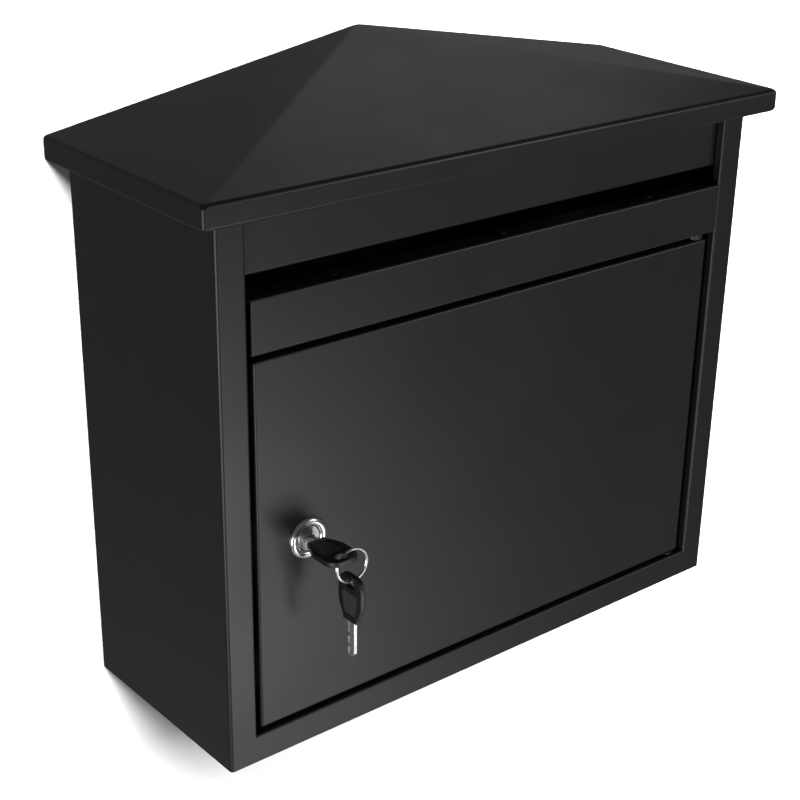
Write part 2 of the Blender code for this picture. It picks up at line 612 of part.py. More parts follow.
# ---- lock -------------------------------------------------------------------------------------------------
def build_lock_housing(hinge):
    """Chrome cylinder with a bezel, and the hexagon nut that clamps it to the door."""
    origin = hinge.matrix_world.translation
    rear = DOOR_Y + BARREL_LENGTH
    bore = PLUG_RADIUS + GAP
    seat = DOOR_Y - GAP
    profile = [
        (bore, BEZEL_Y + 0.5 * MM), (bore + 0.6 * MM, BEZEL_Y), (BEZEL_RADIUS - 2.4 * MM, BEZEL_Y),
        (BEZEL_RADIUS - 1.2 * MM, BEZEL_Y + 0.35 * MM), (BEZEL_RADIUS - 0.35 * MM, BEZEL_Y + 1.1 * MM),
        (BEZEL_RADIUS, seat - 0.4 * MM), (BEZEL_RADIUS, seat), (BARREL_RADIUS, seat),
        (BARREL_RADIUS, rear - 0.5 * MM), (BARREL_RADIUS - 0.5 * MM, rear), (bore, rear),
    ]
    centre = (LOCK_X, LOCK_Z)
    housing = turned(profile, centre, "Y", closed=True, segments=40)
    finish(link("lock_housing", housing, origin, hinge), CHROME, 35)
    nut_front = DOOR_Y + SHEET + GAP
    nut_rear = nut_front + 4.0 * MM
    nut = link("lock_nut", hexagon(centre, 24.0 * MM, nut_front, nut_rear, "Y"), origin, hinge)
    nut_bore = cylinder(centre, BARREL_RADIUS + PIN_CLEARANCE, nut_front - SHEET, nut_rear + SHEET, "Y", 32)
    combine(nut, "DIFFERENCE", nut_bore, "bore")
    finish(nut, ZINC)


def build_lock_plug(lock):
    """Turning plug with the keyway and a square end for the cam, plus cam, washer and bolt.

    At rest the cam hangs down, clear of the keeper; a quarter turn brings it behind the keeper.
    """
    centre = (LOCK_X, LOCK_Z)
    origin = lock.matrix_world.translation
    face = BEZEL_Y + 0.3 * MM
    square = 3.5 * MM
    square_end = CAM_Y + CAM_THICKNESS + 0.2 * MM
    profile = [
        (0, face), (PLUG_RADIUS - 0.3 * MM, face), (PLUG_RADIUS, face + 0.3 * MM),
        (PLUG_RADIUS, PLUG_END_Y), (0, PLUG_END_Y),
    ]
    plug = link("lock_plug", turned(profile, centre, "Y", segments=32), origin, lock)
    drive = box(
        (LOCK_X - square, PLUG_END_Y - 2 * MM, LOCK_Z - square),
        (LOCK_X + square, square_end, LOCK_Z + square),
    )
    combine(plug, "UNION", drive, "square_end")
    key_tip_y = EYE.y + KEY_HOLE_TO_TIP
    slot_x, slot_z = KEY_BLADE_WIDTH / 2 + 0.4 * MM, KEY_THICKNESS / 2 + 0.4 * MM
    keyway = box(
        (LOCK_X - slot_x, face - SHEET, LOCK_Z - slot_z),
        (LOCK_X + slot_x, key_tip_y + 0.4 * MM, LOCK_Z + slot_z),
    )
    thread_hole = cylinder(centre, 2.5 * MM, key_tip_y + 1.2 * MM, square_end + SHEET, "Y", 16)
    combine(plug, "DIFFERENCE", joined([keyway, thread_hole]), "keyway_and_thread")
    finish(plug, CHROME, 35)

    root, tip = 9.0 * MM, 7.0 * MM
    tip_z = LOCK_Z - CAM_LENGTH + tip
    outline = arc(centre, root, -10, 190, 12) + arc((LOCK_X, tip_z), tip, 190, 350, 8)
    cam = link("lock_cam", prism(outline, CAM_Y, CAM_Y + CAM_THICKNESS, "Y"), origin, lock)
    fit = square + PIN_CLEARANCE
    hole = box(
        (LOCK_X - fit, CAM_Y - SHEET, LOCK_Z - fit),
        (LOCK_X + fit, CAM_Y + CAM_THICKNESS + SHEET, LOCK_Z + fit),
    )
    combine(cam, "DIFFERENCE", hole, "square_hole")
    finish(cam, ZINC)

    washer_front = square_end + GAP
    washer_rear = washer_front + 1.0 * MM
    inner, outer = 2.6 * MM, 6.2 * MM
    ring = [(inner, washer_front), (outer, washer_front), (outer, washer_rear), (inner, washer_rear)]
    washer = link("cam_washer", turned(ring, centre, "Y", closed=True, segments=24), origin, lock)
    finish(washer, ZINC, 35)
    head_front = washer_rear + GAP
    bolt = link("cam_bolt", hexagon(centre, 8.0 * MM, head_front, head_front + 3.2 * MM, "Y"), origin, lock)
    shank = cylinder(centre, 2.1 * MM, key_tip_y + 1.8 * MM, head_front + 1.0 * MM, "Y", 16)
    combine(bolt, "UNION", shank, "shank")
    finish(bolt, ZINC)


# ---- keys -------------------------------------------------------------------------------------------------
def key_bow_outline():
    """Bow in its own plane: the eye at the origin, the blade towards +V."""
    half = KEY_BOW_WIDTH / 2
    corner = 7.0 * MM
    neck = 5.2 * MM
    end, shoulder = -KEY_HOLE_TO_END, KEY_HOLE_TO_SHOULDER
    waist = 9.5 * MM
    side_round = 4.0 * MM
    outline = arc((-half + corner, end + corner), corner, 180, 270, 6)
    outline += arc((half - corner, end + corner), corner, 270, 360, 6)
    outline += arc((half - side_round, waist), side_round, 0, 55, 4)
    flare = shoulder - 2.0 * MM
    outline += [(neck, flare), (neck, shoulder), (-neck, shoulder), (-neck, flare)]
    outline += arc((-half + side_round, waist), side_round, 125, 180, 4)
    return outline


def key_eye_outline():
    """Rounded slot across the bow for the ring."""
    end_radius, reach = 2.5 * MM, 1.6 * MM
    return arc((reach, 0), end_radius, -90, 90, 6) + arc((-reach, 0), end_radius, 90, 270, 6)


def key_blade_outline():
    """Flat blade with a pointed tip and cuts of different depth along one edge."""
    half = KEY_BLADE_WIDTH / 2
    root, tip = KEY_HOLE_TO_SHOULDER - 6.0 * MM, KEY_HOLE_TO_TIP
    first_cut, pitch = KEY_HOLE_TO_SHOULDER + 5.0 * MM, 3.2 * MM
    cuts = [1.4 * MM, 2.3 * MM, 1.0 * MM, 1.9 * MM]
    outline = [(-half, root), (half, root)]
    for i, depth in enumerate(cuts):
        middle = first_cut + i * pitch
        flat = 0.45 * MM
        outline += [
            (half, middle - pitch * 0.5 + 0.1 * MM), (half - depth, middle - flat),
            (half - depth, middle + flat), (half, middle + pitch * 0.5 - 0.1 * MM),
        ]
    outline += [(half, tip - 2.6 * MM), (0.6 * MM, tip), (-0.6 * MM, tip), (-half, tip - 2.6 * MM)]
    return outline


def build_key(prefix, frame, parent):
    """A key whose own frame has the eye at the origin, +Y to the tip and +Z out of the flat side."""
    origin = parent.matrix_world.translation
    thick = KEY_BOW_THICKNESS / 2
    bow_mesh = prism(key_bow_outline(), -thick, thick, "Z")
    rim = [e for e in bow_mesh.edges if len({round(v.co.z, 6) for v in e.verts}) == 1]
    bevel_edges(bow_mesh, rim, 0.7 * MM, 2)
    bmesh.ops.transform(bow_mesh, matrix=frame, verts=bow_mesh.verts)
    bow = link(f"{prefix}_bow", bow_mesh, origin, parent)
    pocket_u, pocket_w = KEY_BLADE_WIDTH / 2 + 0.35 * MM, KEY_THICKNESS / 2 + 0.3 * MM
    shoulder = KEY_HOLE_TO_SHOULDER
    eye = prism(key_eye_outline(), -2 * thick, 2 * thick, "Z")
    pocket = box((-pocket_u, shoulder - 6.4 * MM, -pocket_w), (pocket_u, shoulder + SHEET, pocket_w))
    cuts = joined([eye, pocket])
    bmesh.ops.transform(cuts, matrix=frame, verts=cuts.verts)
    combine(bow, "DIFFERENCE", cuts, "eye_and_pocket")
    finish(bow, BOW_PLASTIC)
    half = KEY_THICKNESS / 2
    blade_mesh = prism(key_blade_outline(), -half, half, "Z")
    bmesh.ops.transform(blade_mesh, matrix=frame, verts=blade_mesh.verts)
    finish(link(f"{prefix}_blade", blade_mesh, origin, parent), NICKEL)


def build_key_ring(parent):
    section = arc((RING_RADIUS, RING_CENTRE.y), RING_WIRE / 2, 0, 330, 11)
    ring = turned(section, (RING_CENTRE.x, RING_CENTRE.z), "Y", closed=True, segments=48)
    finish(link("key_ring", ring, RING_CENTRE, parent), NICKEL, 50)


# ---- assembly ---------------------------------------------------------------------------------------------
def main():
    clear_scene()
    build_body_shell()
    build_back_panel()
    build_floor_panel()
    build_roof_cap()
    build_front_header()
    build_slot_rail()
    build_slot_guard()
    build_guard_rivets()
    build_roof_fasteners()
    build_left_wall_brackets()

    hinge = pivot("hinge_axis", (HINGE_X, HINGE_Y, (DOOR_BOTTOM_Z + DOOR_TOP_Z) / 2))
    build_door(hinge)
    build_hinge_pins(hinge)
    build_lock_housing(hinge)

    lock = pivot("lock_axis", (LOCK_X, BEZEL_Y, LOCK_Z), hinge)
    build_lock_plug(lock)

    key = pivot("key_axis", EYE, lock)
    build_key("key", Matrix.Translation(EYE), key)
    ring = pivot("ring_axis", RING_CENTRE, key)
    build_key_ring(ring)
    spare = pivot("spare_key_axis", SPARE_EYE, ring)
    hang = 1.2 * MM  # the spare key's eye hangs on the wire, not centred on it
    turn = Matrix(((0, 0, -1), (1, 0, 0), (0, -1, 0))).to_4x4()
    build_key("spare_key", Matrix.Translation(SPARE_EYE - Vector((0, 0, hang))) @ turn, spare)


main()
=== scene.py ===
"""Looks of a wall mounted steel mailbox: every sheet, lock part and key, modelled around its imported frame.

Metres, +Z up. The back lies on the wall (plane Y = 0) and the front faces -Y. Sizes and colours that a
user would change are scene properties, and each operator models one piece or one group of like pieces.
"""
import math

import bmesh
import bpy
from bpy.props import FloatProperty, FloatVectorProperty, IntProperty, PointerProperty
from mathutils import Matrix, Vector


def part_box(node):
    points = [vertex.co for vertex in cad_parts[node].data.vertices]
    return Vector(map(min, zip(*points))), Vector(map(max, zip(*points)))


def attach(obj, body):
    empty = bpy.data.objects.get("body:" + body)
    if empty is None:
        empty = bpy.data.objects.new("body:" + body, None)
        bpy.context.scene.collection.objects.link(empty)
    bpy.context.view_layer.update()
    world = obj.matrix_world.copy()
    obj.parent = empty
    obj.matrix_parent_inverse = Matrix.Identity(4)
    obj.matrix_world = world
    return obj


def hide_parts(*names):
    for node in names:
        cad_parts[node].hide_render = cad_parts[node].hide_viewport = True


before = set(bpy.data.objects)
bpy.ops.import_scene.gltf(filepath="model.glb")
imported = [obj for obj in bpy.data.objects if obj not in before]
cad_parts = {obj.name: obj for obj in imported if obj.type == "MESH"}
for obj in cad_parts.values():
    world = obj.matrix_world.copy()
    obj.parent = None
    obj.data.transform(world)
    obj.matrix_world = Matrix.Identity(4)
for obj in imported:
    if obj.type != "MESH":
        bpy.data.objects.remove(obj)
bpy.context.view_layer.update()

bl_info = {
    "name": "Wall mailbox",
    "version": (1, 0, 0),
    "blender": (4, 5, 0),
    "location": "View3D > Sidebar > Mailbox",
    "description": "Models a folded steel wall mailbox with its cam lock and keys",
    "category": "Add Mesh",
}

MM = 0.001
WALL_PLANE_Y = 0.6 * MM
FLOOR_Z = -1.1


# ---- sizes and colours that a user would change ----
def length(name, description, size):
    return FloatProperty(name=name, description=description, default=size, unit="LENGTH")


def colour(name, description, shade_of):
    return FloatVectorProperty(name=name, description=description, default=shade_of, subtype="COLOR", size=3)


def power(name, description, watts):
    return FloatProperty(name=name, description=description, default=watts, unit="POWER")


class MailboxSheetSizes(bpy.types.PropertyGroup):
    """Sizes of the folded sheet steel."""

    gauge: length("Gauge", "Thickness of the sheet", 1.2 * MM)
    corner_radius: length("Corner radius", "Outer radius of the box's front corners", 2.0 * MM)
    fold_radius: length("Fold radius", "Outer radius of the folded edges", 1.5 * MM)
    roof_radius: length("Roof radius", "Outer radius of the roof's edges", 2.0 * MM)
    post_width: length("Post width", "Width of the front frame's posts", 16.5 * MM)
    rail_height: length("Rail height", "Height of the front frame's bottom rail", 16.2 * MM)
    post_return: length("Post return", "Depth of the posts' folded inner edges", 5.3 * MM)
    rail_return: length("Rail return", "Depth of the rail's folded upper edge", 14.0 * MM)
    eaves_flange: length("Eaves flange", "Width of the walls' flange under the roof", 15.0 * MM)
    lip_height: length("Lip height", "Height of the roof's lip", 12.5 * MM)
    roof_rise: length("Roof rise", "Height of the roof's apex over its lip", 33.6 * MM)
    cut_edge: length("Cut edge", "Rounding of the sheet's coated cut edges", 0.22 * MM)
    fold_steps: IntProperty(name="Fold steps", description="Faces across a fold", default=7, min=2)


class MailboxHardwareSizes(bpy.types.PropertyGroup):
    """Sizes of the lock, the keys and the fasteners."""

    bezel_land: length("Bezel flat", "Flat land on the lock's half-round rim", 0.3 * MM)
    plug_recess: length("Plug recess", "Depth of the plug's face behind the rim", 0.9 * MM)
    thread_pitch: length("Thread pitch", "Pitch of the screws' threads", 0.7 * MM)
    eye_to_end: length("Eye to end", "Key's eye to the end of its bow", 5.0 * MM)
    bow_edge: length("Bow edge", "Rounding of the key bow's rim", 0.7 * MM)
    round_steps: IntProperty(name="Round steps", description="Faces round a turned part", default=72, min=24)


class MailboxFinishes(bpy.types.PropertyGroup):
    """Colours and glosses of the finishes."""

    paint: colour("Paint", "Black powder coat", (0.0110, 0.0118, 0.0108))
    paint_gloss: FloatProperty(
        name="Paint roughness", description="Roughness of the powder coat", default=0.40, subtype="FACTOR",
    )
    chrome: colour("Chrome", "Plate on the lock", (0.80, 0.80, 0.79))
    zinc: colour("Zinc", "Plate on the fasteners", (0.56, 0.57, 0.56))
    nickel: colour("Nickel", "Plate on the key blades and the ring", (0.66, 0.65, 0.63))
    bow: colour("Key bow", "Moulded plastic of the bows", (0.013, 0.013, 0.014))
    nylon: colour("Nylon", "Hinge bushes", (0.016, 0.016, 0.016))
    rubber: colour("Rubber", "Door stop pads", (0.020, 0.020, 0.020))


class MailboxStudio(bpy.types.PropertyGroup):
    """The plain wall and floor, the lamps and the camera."""

    wall: colour("Wall and floor", "Pale matt paint", (0.90, 0.90, 0.90))
    ambient: FloatProperty(name="Ambient", description="Brightness of the room before the wall", default=0.07)
    ambient_rear: FloatProperty(name="Ambient, rear", description="Brightness behind the wall", default=0.19)
    key_power: power("Key lamp", "Lamp at the right front", 4.2)
    floor_power: power("Floor light", "Soft light off the floor in front", 2.8)
    roof_power: power("Roof light", "Soft light over the roof's front slope", 0.55)
    wall_power: power("Wall light", "Lamp on the wall from the upper left", 125.0)
    side_power: power("Side light", "Soft light on the left side and its folds", 7.0)
    graze_power: power("Wall light, right", "Lamp along the wall from the right", 110.0)
    floor_wash_power: power("Floor wash", "Lamp on the floor that is seen", 160.0)
    rear_power: power("Rear light", "Lamp on the back and on the floor that throws light up", 6.0)
    focal_length: FloatProperty(
        name="Focal length", description="Lens of the camera", default=75.81 * MM, unit="CAMERA",
    )
    camera_place: FloatVectorProperty(
        name="Camera", description="Place of the camera", subtype="TRANSLATION", size=3,
        default=(-0.57175, -0.73973, 0.37945),
    )
    camera_turn: FloatVectorProperty(
        name="Camera turn", description="Heading, tilt and roll of the camera", subtype="EULER", size=3,
        default=(0.7248, -0.4397, 0.0330),
    )
    camera_shift: FloatVectorProperty(
        name="Camera shift", description="Lens shift across and up, in widths of the picture", size=2,
        default=(-0.0710, 0.0559),
    )


def sheet_sizes():
    return bpy.context.scene.mailbox_sheet


def hardware_sizes():
    return bpy.context.scene.mailbox_hardware


# ---- materials ----
class Finish:
    """A Principled material under construction, on object coordinates."""

    def __init__(self, name, colour, metallic, roughness):
        self.material = bpy.data.materials.new(name)
        self.material.use_nodes = True
        self.nodes = self.material.node_tree.nodes
        self.links = self.material.node_tree.links
        self.shader = self.nodes["Principled BSDF"]
        self.shader.inputs["Base Color"].default_value = (*colour, 1.0)
        self.shader.inputs["Metallic"].default_value = metallic
        self.shader.inputs["Roughness"].default_value = roughness
        self.coords = self.nodes.new("ShaderNodeTexCoord")
        self.normal = None

    def mapped(self, stretch):
        mapping = self.nodes.new("ShaderNodeMapping")
        mapping.inputs["Scale"].default_value = stretch
        self.links.new(self.coords.outputs["Object"], mapping.inputs["Vector"])
        return mapping.outputs["Vector"]

    def noise(self, per_metre, detail=2.0, stretch=(1.0, 1.0, 1.0)):
        """A noise value; per_metre is how many of its features fit in a metre."""
        tex = self.nodes.new("ShaderNodeTexNoise")
        tex.inputs["Scale"].default_value = per_metre
        tex.inputs["Detail"].default_value = detail
        self.links.new(self.mapped(stretch), tex.inputs["Vector"])
        return tex.outputs["Fac"]

    def cells(self, per_metre):
        """One flat random value for each cell, as the crystals of a zinc plate."""
        tex = self.nodes.new("ShaderNodeTexVoronoi")
        tex.inputs["Scale"].default_value = per_metre
        self.links.new(self.coords.outputs["Object"], tex.inputs["Vector"])
        grey = self.nodes.new("ShaderNodeRGBToBW")
        self.links.new(tex.outputs["Color"], grey.inputs["Color"])
        return grey.outputs["Val"]

    def vary_roughness(self, value, low, high, middle=0.14):
        spread = self.nodes.new("ShaderNodeMapRange")
        spread.inputs["From Min"].default_value = 0.5 - middle
        spread.inputs["From Max"].default_value = 0.5 + middle
        spread.inputs["To Min"].default_value = low
        spread.inputs["To Max"].default_value = high
        self.links.new(value, spread.inputs["Value"])
        self.links.new(spread.outputs["Result"], self.shader.inputs["Roughness"])
        return self

    def vary_colour(self, value, dark, light):
        ramp = self.nodes.new("ShaderNodeValToRGB")
        ramp.color_ramp.elements[0].position = 0.32
        ramp.color_ramp.elements[0].color = (*dark, 1.0)
        ramp.color_ramp.elements[1].position = 0.68
        ramp.color_ramp.elements[1].color = (*light, 1.0)
        self.links.new(value, ramp.inputs["Fac"])
        self.links.new(ramp.outputs["Color"], self.shader.inputs["Base Color"])
        return self

    def bump(self, value, height, strength=1.0):
        """Raise the surface by up to height, in metres; a second bump adds to the first."""
        bump = self.nodes.new("ShaderNodeBump")
        bump.inputs["Strength"].default_value = strength
        bump.inputs["Distance"].default_value = height
        self.links.new(value, bump.inputs["Height"])
        if self.normal is not None:
            self.links.new(self.normal, bump.inputs["Normal"])
        self.normal = bump.outputs["Normal"]
        self.links.new(self.normal, self.shader.inputs["Normal"])
        return self


def shade(colour, factor):
    return tuple(channel * factor for channel in colour)


def made_once(work):
    """Make a finish's material the first time that its name is asked for."""
    def ask(name=work.__name__, *details):
        made = bpy.data.materials.get(name)
        return made or work(name, bpy.context.scene.mailbox_finishes, *details).material
    return ask


@made_once
def black_powder_coat(name, look):
    """Satin black powder coat: fine orange peel, with a slow drift in gloss and depth."""
    finish = Finish(name, look.paint, 0.0, look.paint_gloss)
    drift = finish.noise(11.0, 3.0)
    finish.vary_colour(drift, shade(look.paint, 0.94), shade(look.paint, 1.06))
    finish.vary_roughness(finish.noise(26.0, 4.0), look.paint_gloss - 0.015, look.paint_gloss + 0.015)
    finish.bump(finish.noise(420.0, 3.0), 0.05 * MM, 0.35)
    finish.bump(finish.noise(2600.0, 1.0), 0.012 * MM, 0.30)
    finish.shader.inputs["Specular IOR Level"].default_value = 0.42
    return finish


@made_once
def chrome_plate(name, look):
    finish = Finish(name, look.chrome, 1.0, 0.18)
    finish.vary_roughness(finish.noise(160.0, 4.0), 0.15, 0.22)
    finish.bump(finish.noise(240.0, 2.0), 0.01 * MM, 0.25)
    return finish


@made_once
def satin_nickel(name, look):
    finish = Finish(name, shade(look.chrome, 0.42), 1.0, 0.34)
    finish.vary_roughness(finish.noise(300.0, 3.0), 0.30, 0.40)
    finish.bump(finish.noise(1200.0, 2.0), 0.008 * MM, 0.3)
    return finish


@made_once
def zinc_plate(name, look):
    finish = Finish(name, look.zinc, 1.0, 0.34)
    crystals = finish.cells(420.0)
    finish.vary_colour(crystals, shade(look.zinc, 0.82), shade(look.zinc, 1.12))
    finish.vary_roughness(finish.noise(240.0, 4.0), 0.26, 0.44)
    finish.bump(finish.noise(900.0, 2.0), 0.01 * MM, 0.3)
    return finish


@made_once
def nickel_plate(name, look, stretch):
    """Nickel with a fine brushed grain; the grain runs where stretch is small."""
    finish = Finish(name, look.nickel, 0.75, 0.2)
    grain = finish.noise(1500.0, 2.0, stretch)
    finish.vary_roughness(grain, 0.13, 0.30)
    finish.bump(grain, 0.012 * MM, 0.35)
    return finish


@made_once
def moulded_plastic(name, look, lighter, roughness):
    """Plastic of the key bows, lighter than their black by a factor."""
    finish = Finish(name, shade(look.bow, lighter), 0.0, roughness)
    finish.vary_roughness(finish.noise(1100.0, 2.0), roughness - 0.04, roughness + 0.04)
    finish.bump(finish.noise(1900.0, 2.0), 0.02 * MM, 0.4)
    return finish


@made_once
def black_nylon(name, look):
    finish = Finish(name, look.nylon, 0.0, 0.45)
    finish.vary_roughness(finish.noise(200.0, 2.0), 0.38, 0.52)
    finish.bump(finish.noise(700.0, 2.0), 0.01 * MM, 0.3)
    return finish


@made_once
def black_rubber(name, look):
    finish = Finish(name, look.rubber, 0.0, 0.78)
    finish.vary_colour(finish.noise(500.0, 3.0), shade(look.rubber, 0.8), shade(look.rubber, 1.4))
    finish.bump(finish.noise(1400.0, 2.0), 0.03 * MM, 0.5)
    return finish


# ---- shaping ----
def piece(name, bm, material, body, nodes=()):
    """Turn a finished bmesh into a named piece that rides a body and stands for CAD nodes."""
    mesh = bpy.data.meshes.new(name)
    bm.to_mesh(mesh)
    bm.free()
    mesh.shade_smooth()
    mesh.materials.append(material)
    obj = bpy.data.objects.new(name, mesh)
    bpy.context.scene.collection.objects.link(obj)
    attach(obj, body)
    if nodes:
        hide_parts(*nodes)
    return obj


def crisp(obj, angle=32.0):
    """Keep the edges of a turned or milled piece sharp where they turn by more than the angle."""
    obj.data.set_sharp_from_angle(angle=math.radians(angle))
    return obj


def give_gauge(obj):
    """Thicken a folded skin inwards, round its cut edges, and keep its flats flat."""
    sizes = sheet_sizes()
    solid = obj.modifiers.new("gauge", "SOLIDIFY")
    solid.thickness = sizes.gauge
    solid.offset = -1.0
    solid.use_even_offset = True
    solid.use_quality_normals = True
    return soften(obj, sizes.cut_edge)


def soften(obj, width, segments=2, angle=40.0):
    edge = obj.modifiers.new("edges", "BEVEL")
    edge.width = width
    edge.segments = segments
    edge.limit_method = "ANGLE"
    edge.angle_limit = math.radians(angle)
    edge.harden_normals = False
    flats = obj.modifiers.new("flats", "WEIGHTED_NORMAL")
    flats.keep_sharp = True
    return obj


def carve(obj, tool_bm):
    """Cut a shape out of a piece for good."""
    mesh = bpy.data.meshes.new("tool")
    tool_bm.to_mesh(mesh)
    tool_bm.free()
    tool = bpy.data.objects.new("tool", mesh)
    bpy.context.scene.collection.objects.link(tool)
    cut = obj.modifiers.new("cut", "BOOLEAN")
    cut.operation = "DIFFERENCE"
    cut.solver = "EXACT"
    cut.object = tool
    done = bpy.data.meshes.new_from_object(obj.evaluated_get(bpy.context.evaluated_depsgraph_get()))
    obj.modifiers.clear()
    obj.data = done
    bpy.data.objects.remove(tool)
    return obj


def flat_sheet(corners):
    """One flat face, to be cut, extruded and folded."""
    bm = bmesh.new()
    bm.faces.new([bm.verts.new(c) for c in corners])
    bm.normal_update()
    return bm


def front_sheet(left, right, lo, hi):
    """One flat face on the front of a box, from left to right."""
    return flat_sheet([(left, lo.y, lo.z), (right, lo.y, lo.z), (right, lo.y, hi.z), (left, lo.y, hi.z)])


def score(bm, place, normal, trim=False):
    """Cut all faces along a plane; trim throws away what lies on the side that its normal looks to."""
    geom = bm.verts[:] + bm.edges[:] + bm.faces[:]
    bmesh.ops.bisect_plane(bm, geom=geom, plane_co=place, plane_no=normal, dist=1e-7, clear_outer=trim)


def middle(edge):
    return (edge.verts[0].co + edge.verts[1].co) / 2


def rim(bm, test):
    """The open edges whose middle passes the test."""
    return [e for e in bm.edges if len(e.link_faces) == 1 and test(middle(e))]


def fold_out(bm, edges, shift):
    """Extrude open edges by a shift, or by a function of each new vertex's place; returns the new edges."""
    grown = bmesh.ops.extrude_edge_only(bm, edges=edges)["geom"]
    for vert in [g for g in grown if isinstance(g, bmesh.types.BMVert)]:
        vert.co += shift(vert.co) if callable(shift) else Vector(shift)
    return [g for g in grown if isinstance(g, bmesh.types.BMEdge) and len(g.link_faces) == 1]


def round_folds(bm, edges, radius, steps=None):
    bmesh.ops.bevel(
        bm, geom=list(edges), offset=radius, offset_type="OFFSET", segments=steps or sheet_sizes().fold_steps,
        profile=0.5, affect="EDGES", clamp_overlap=True, material=-1,
    )


def facing(bm, direction):
    """Make all normals agree, with the largest face that looks along the direction facing out."""
    bmesh.ops.recalc_face_normals(bm, faces=bm.faces)
    bm.normal_update()
    ahead = Vector(direction).normalized()
    flattest = max(bm.faces, key=lambda f: f.calc_area() * abs(f.normal.dot(ahead)) ** 8)
    if flattest.normal.dot(ahead) < 0:
        bmesh.ops.reverse_faces(bm, faces=bm.faces)
    return bm


def turned(profile, centre, axis, closed=False):
    """Spin a (radius, height) profile about X, Y or Z; centre gives the other two coordinates in order."""
    bm = bmesh.new()
    verts = [bm.verts.new((r, 0.0, h)) for r, h in profile]
    pairs = list(zip(verts, verts[1:])) + ([(verts[-1], verts[0])] if closed else [])
    edges = [bm.edges.new(pair) for pair in pairs]
    bmesh.ops.spin(
        bm, geom=verts + edges, cent=(0, 0, 0), axis=(0, 0, 1), angle=math.tau,
        steps=hardware_sizes().round_steps, use_merge=True, use_duplicate=False,
    )
    bmesh.ops.remove_doubles(bm, verts=bm.verts, dist=1e-7)
    quarter = math.pi / 2
    turn = {
        "X": Matrix.Rotation(quarter, 4, "Y"),
        "Y": Matrix.Rotation(-quarter, 4, "X"),
        "Z": Matrix.Identity(4),
    }[axis]
    u, v = centre
    shift = {"X": (0, u, v), "Y": (u, 0, v), "Z": (u, v, 0)}[axis]
    bmesh.ops.transform(bm, matrix=Matrix.Translation(shift) @ turn, verts=bm.verts)
    bmesh.ops.recalc_face_normals(bm, faces=bm.faces)
    return bm


def quarter_round(centre, radius, start, end, steps=5):
    """Points of a round stretch of a profile, in degrees, ends included."""
    points = []
    for i in range(steps + 1):
        angle = math.radians(start + (end - start) * i / steps)
        points.append((centre[0] + radius * math.cos(angle), centre[1] + radius * math.sin(angle)))
    return points


def rounded_plate(corners, thickness, edge, steps=6):
    """A flat plate in the XY plane, centred on Z = 0; corners are (x, y, rounding)."""
    bm = bmesh.new()
    verts = [bm.verts.new((x, y, -thickness / 2)) for x, y, _ in corners]
    bm.faces.new(verts)
    for rounding in sorted({r for _, _, r in corners if r > 0}):
        chosen = [v for v, c in zip(verts, corners) if c[2] == rounding]
        bmesh.ops.bevel(
            bm, geom=chosen, offset=rounding, offset_type="OFFSET", segments=steps, profile=0.5,
            affect="VERTICES", clamp_overlap=True, material=-1,
        )
    raise_plate(bm, thickness)
    if edge > 0:
        round_folds(bm, level_edges(bm), edge, 3)
    return bm


def raise_plate(bm, thickness):
    """Extrude a flat outline up by the thickness."""
    grown = bmesh.ops.extrude_face_region(bm, geom=bm.faces[:])["geom"]
    lifted = [g for g in grown if isinstance(g, bmesh.types.BMVert)]
    bmesh.ops.translate(bm, vec=(0, 0, thickness), verts=lifted)
    bmesh.ops.recalc_face_normals(bm, faces=bm.faces)


def level_edges(bm, level=True):
    """Edges that lie level, or those that don't."""
    return [e for e in bm.edges if (abs(e.verts[0].co.z - e.verts[1].co.z) < 1e-7) == level]


def block(lo, hi):
    bm = bmesh.new()
    size = Vector(hi) - Vector(lo)
    centre = (Vector(hi) + Vector(lo)) / 2
    bmesh.ops.create_cube(bm, size=1.0, matrix=Matrix.Translation(centre) @ Matrix.Diagonal((*size, 1.0)))
    return bm


def rod(centre, radius, start, end, axis):
    return turned([(0, start), (radius, start), (radius, end), (0, end)], centre, axis)


def moved(bm, matrix):
    bmesh.ops.transform(bm, matrix=matrix, verts=bm.verts)
    return bm


# ---- folded sheets ----
def painted(name, bm, body, node):
    return give_gauge(piece(name, bm, black_powder_coat(), body, [node]))


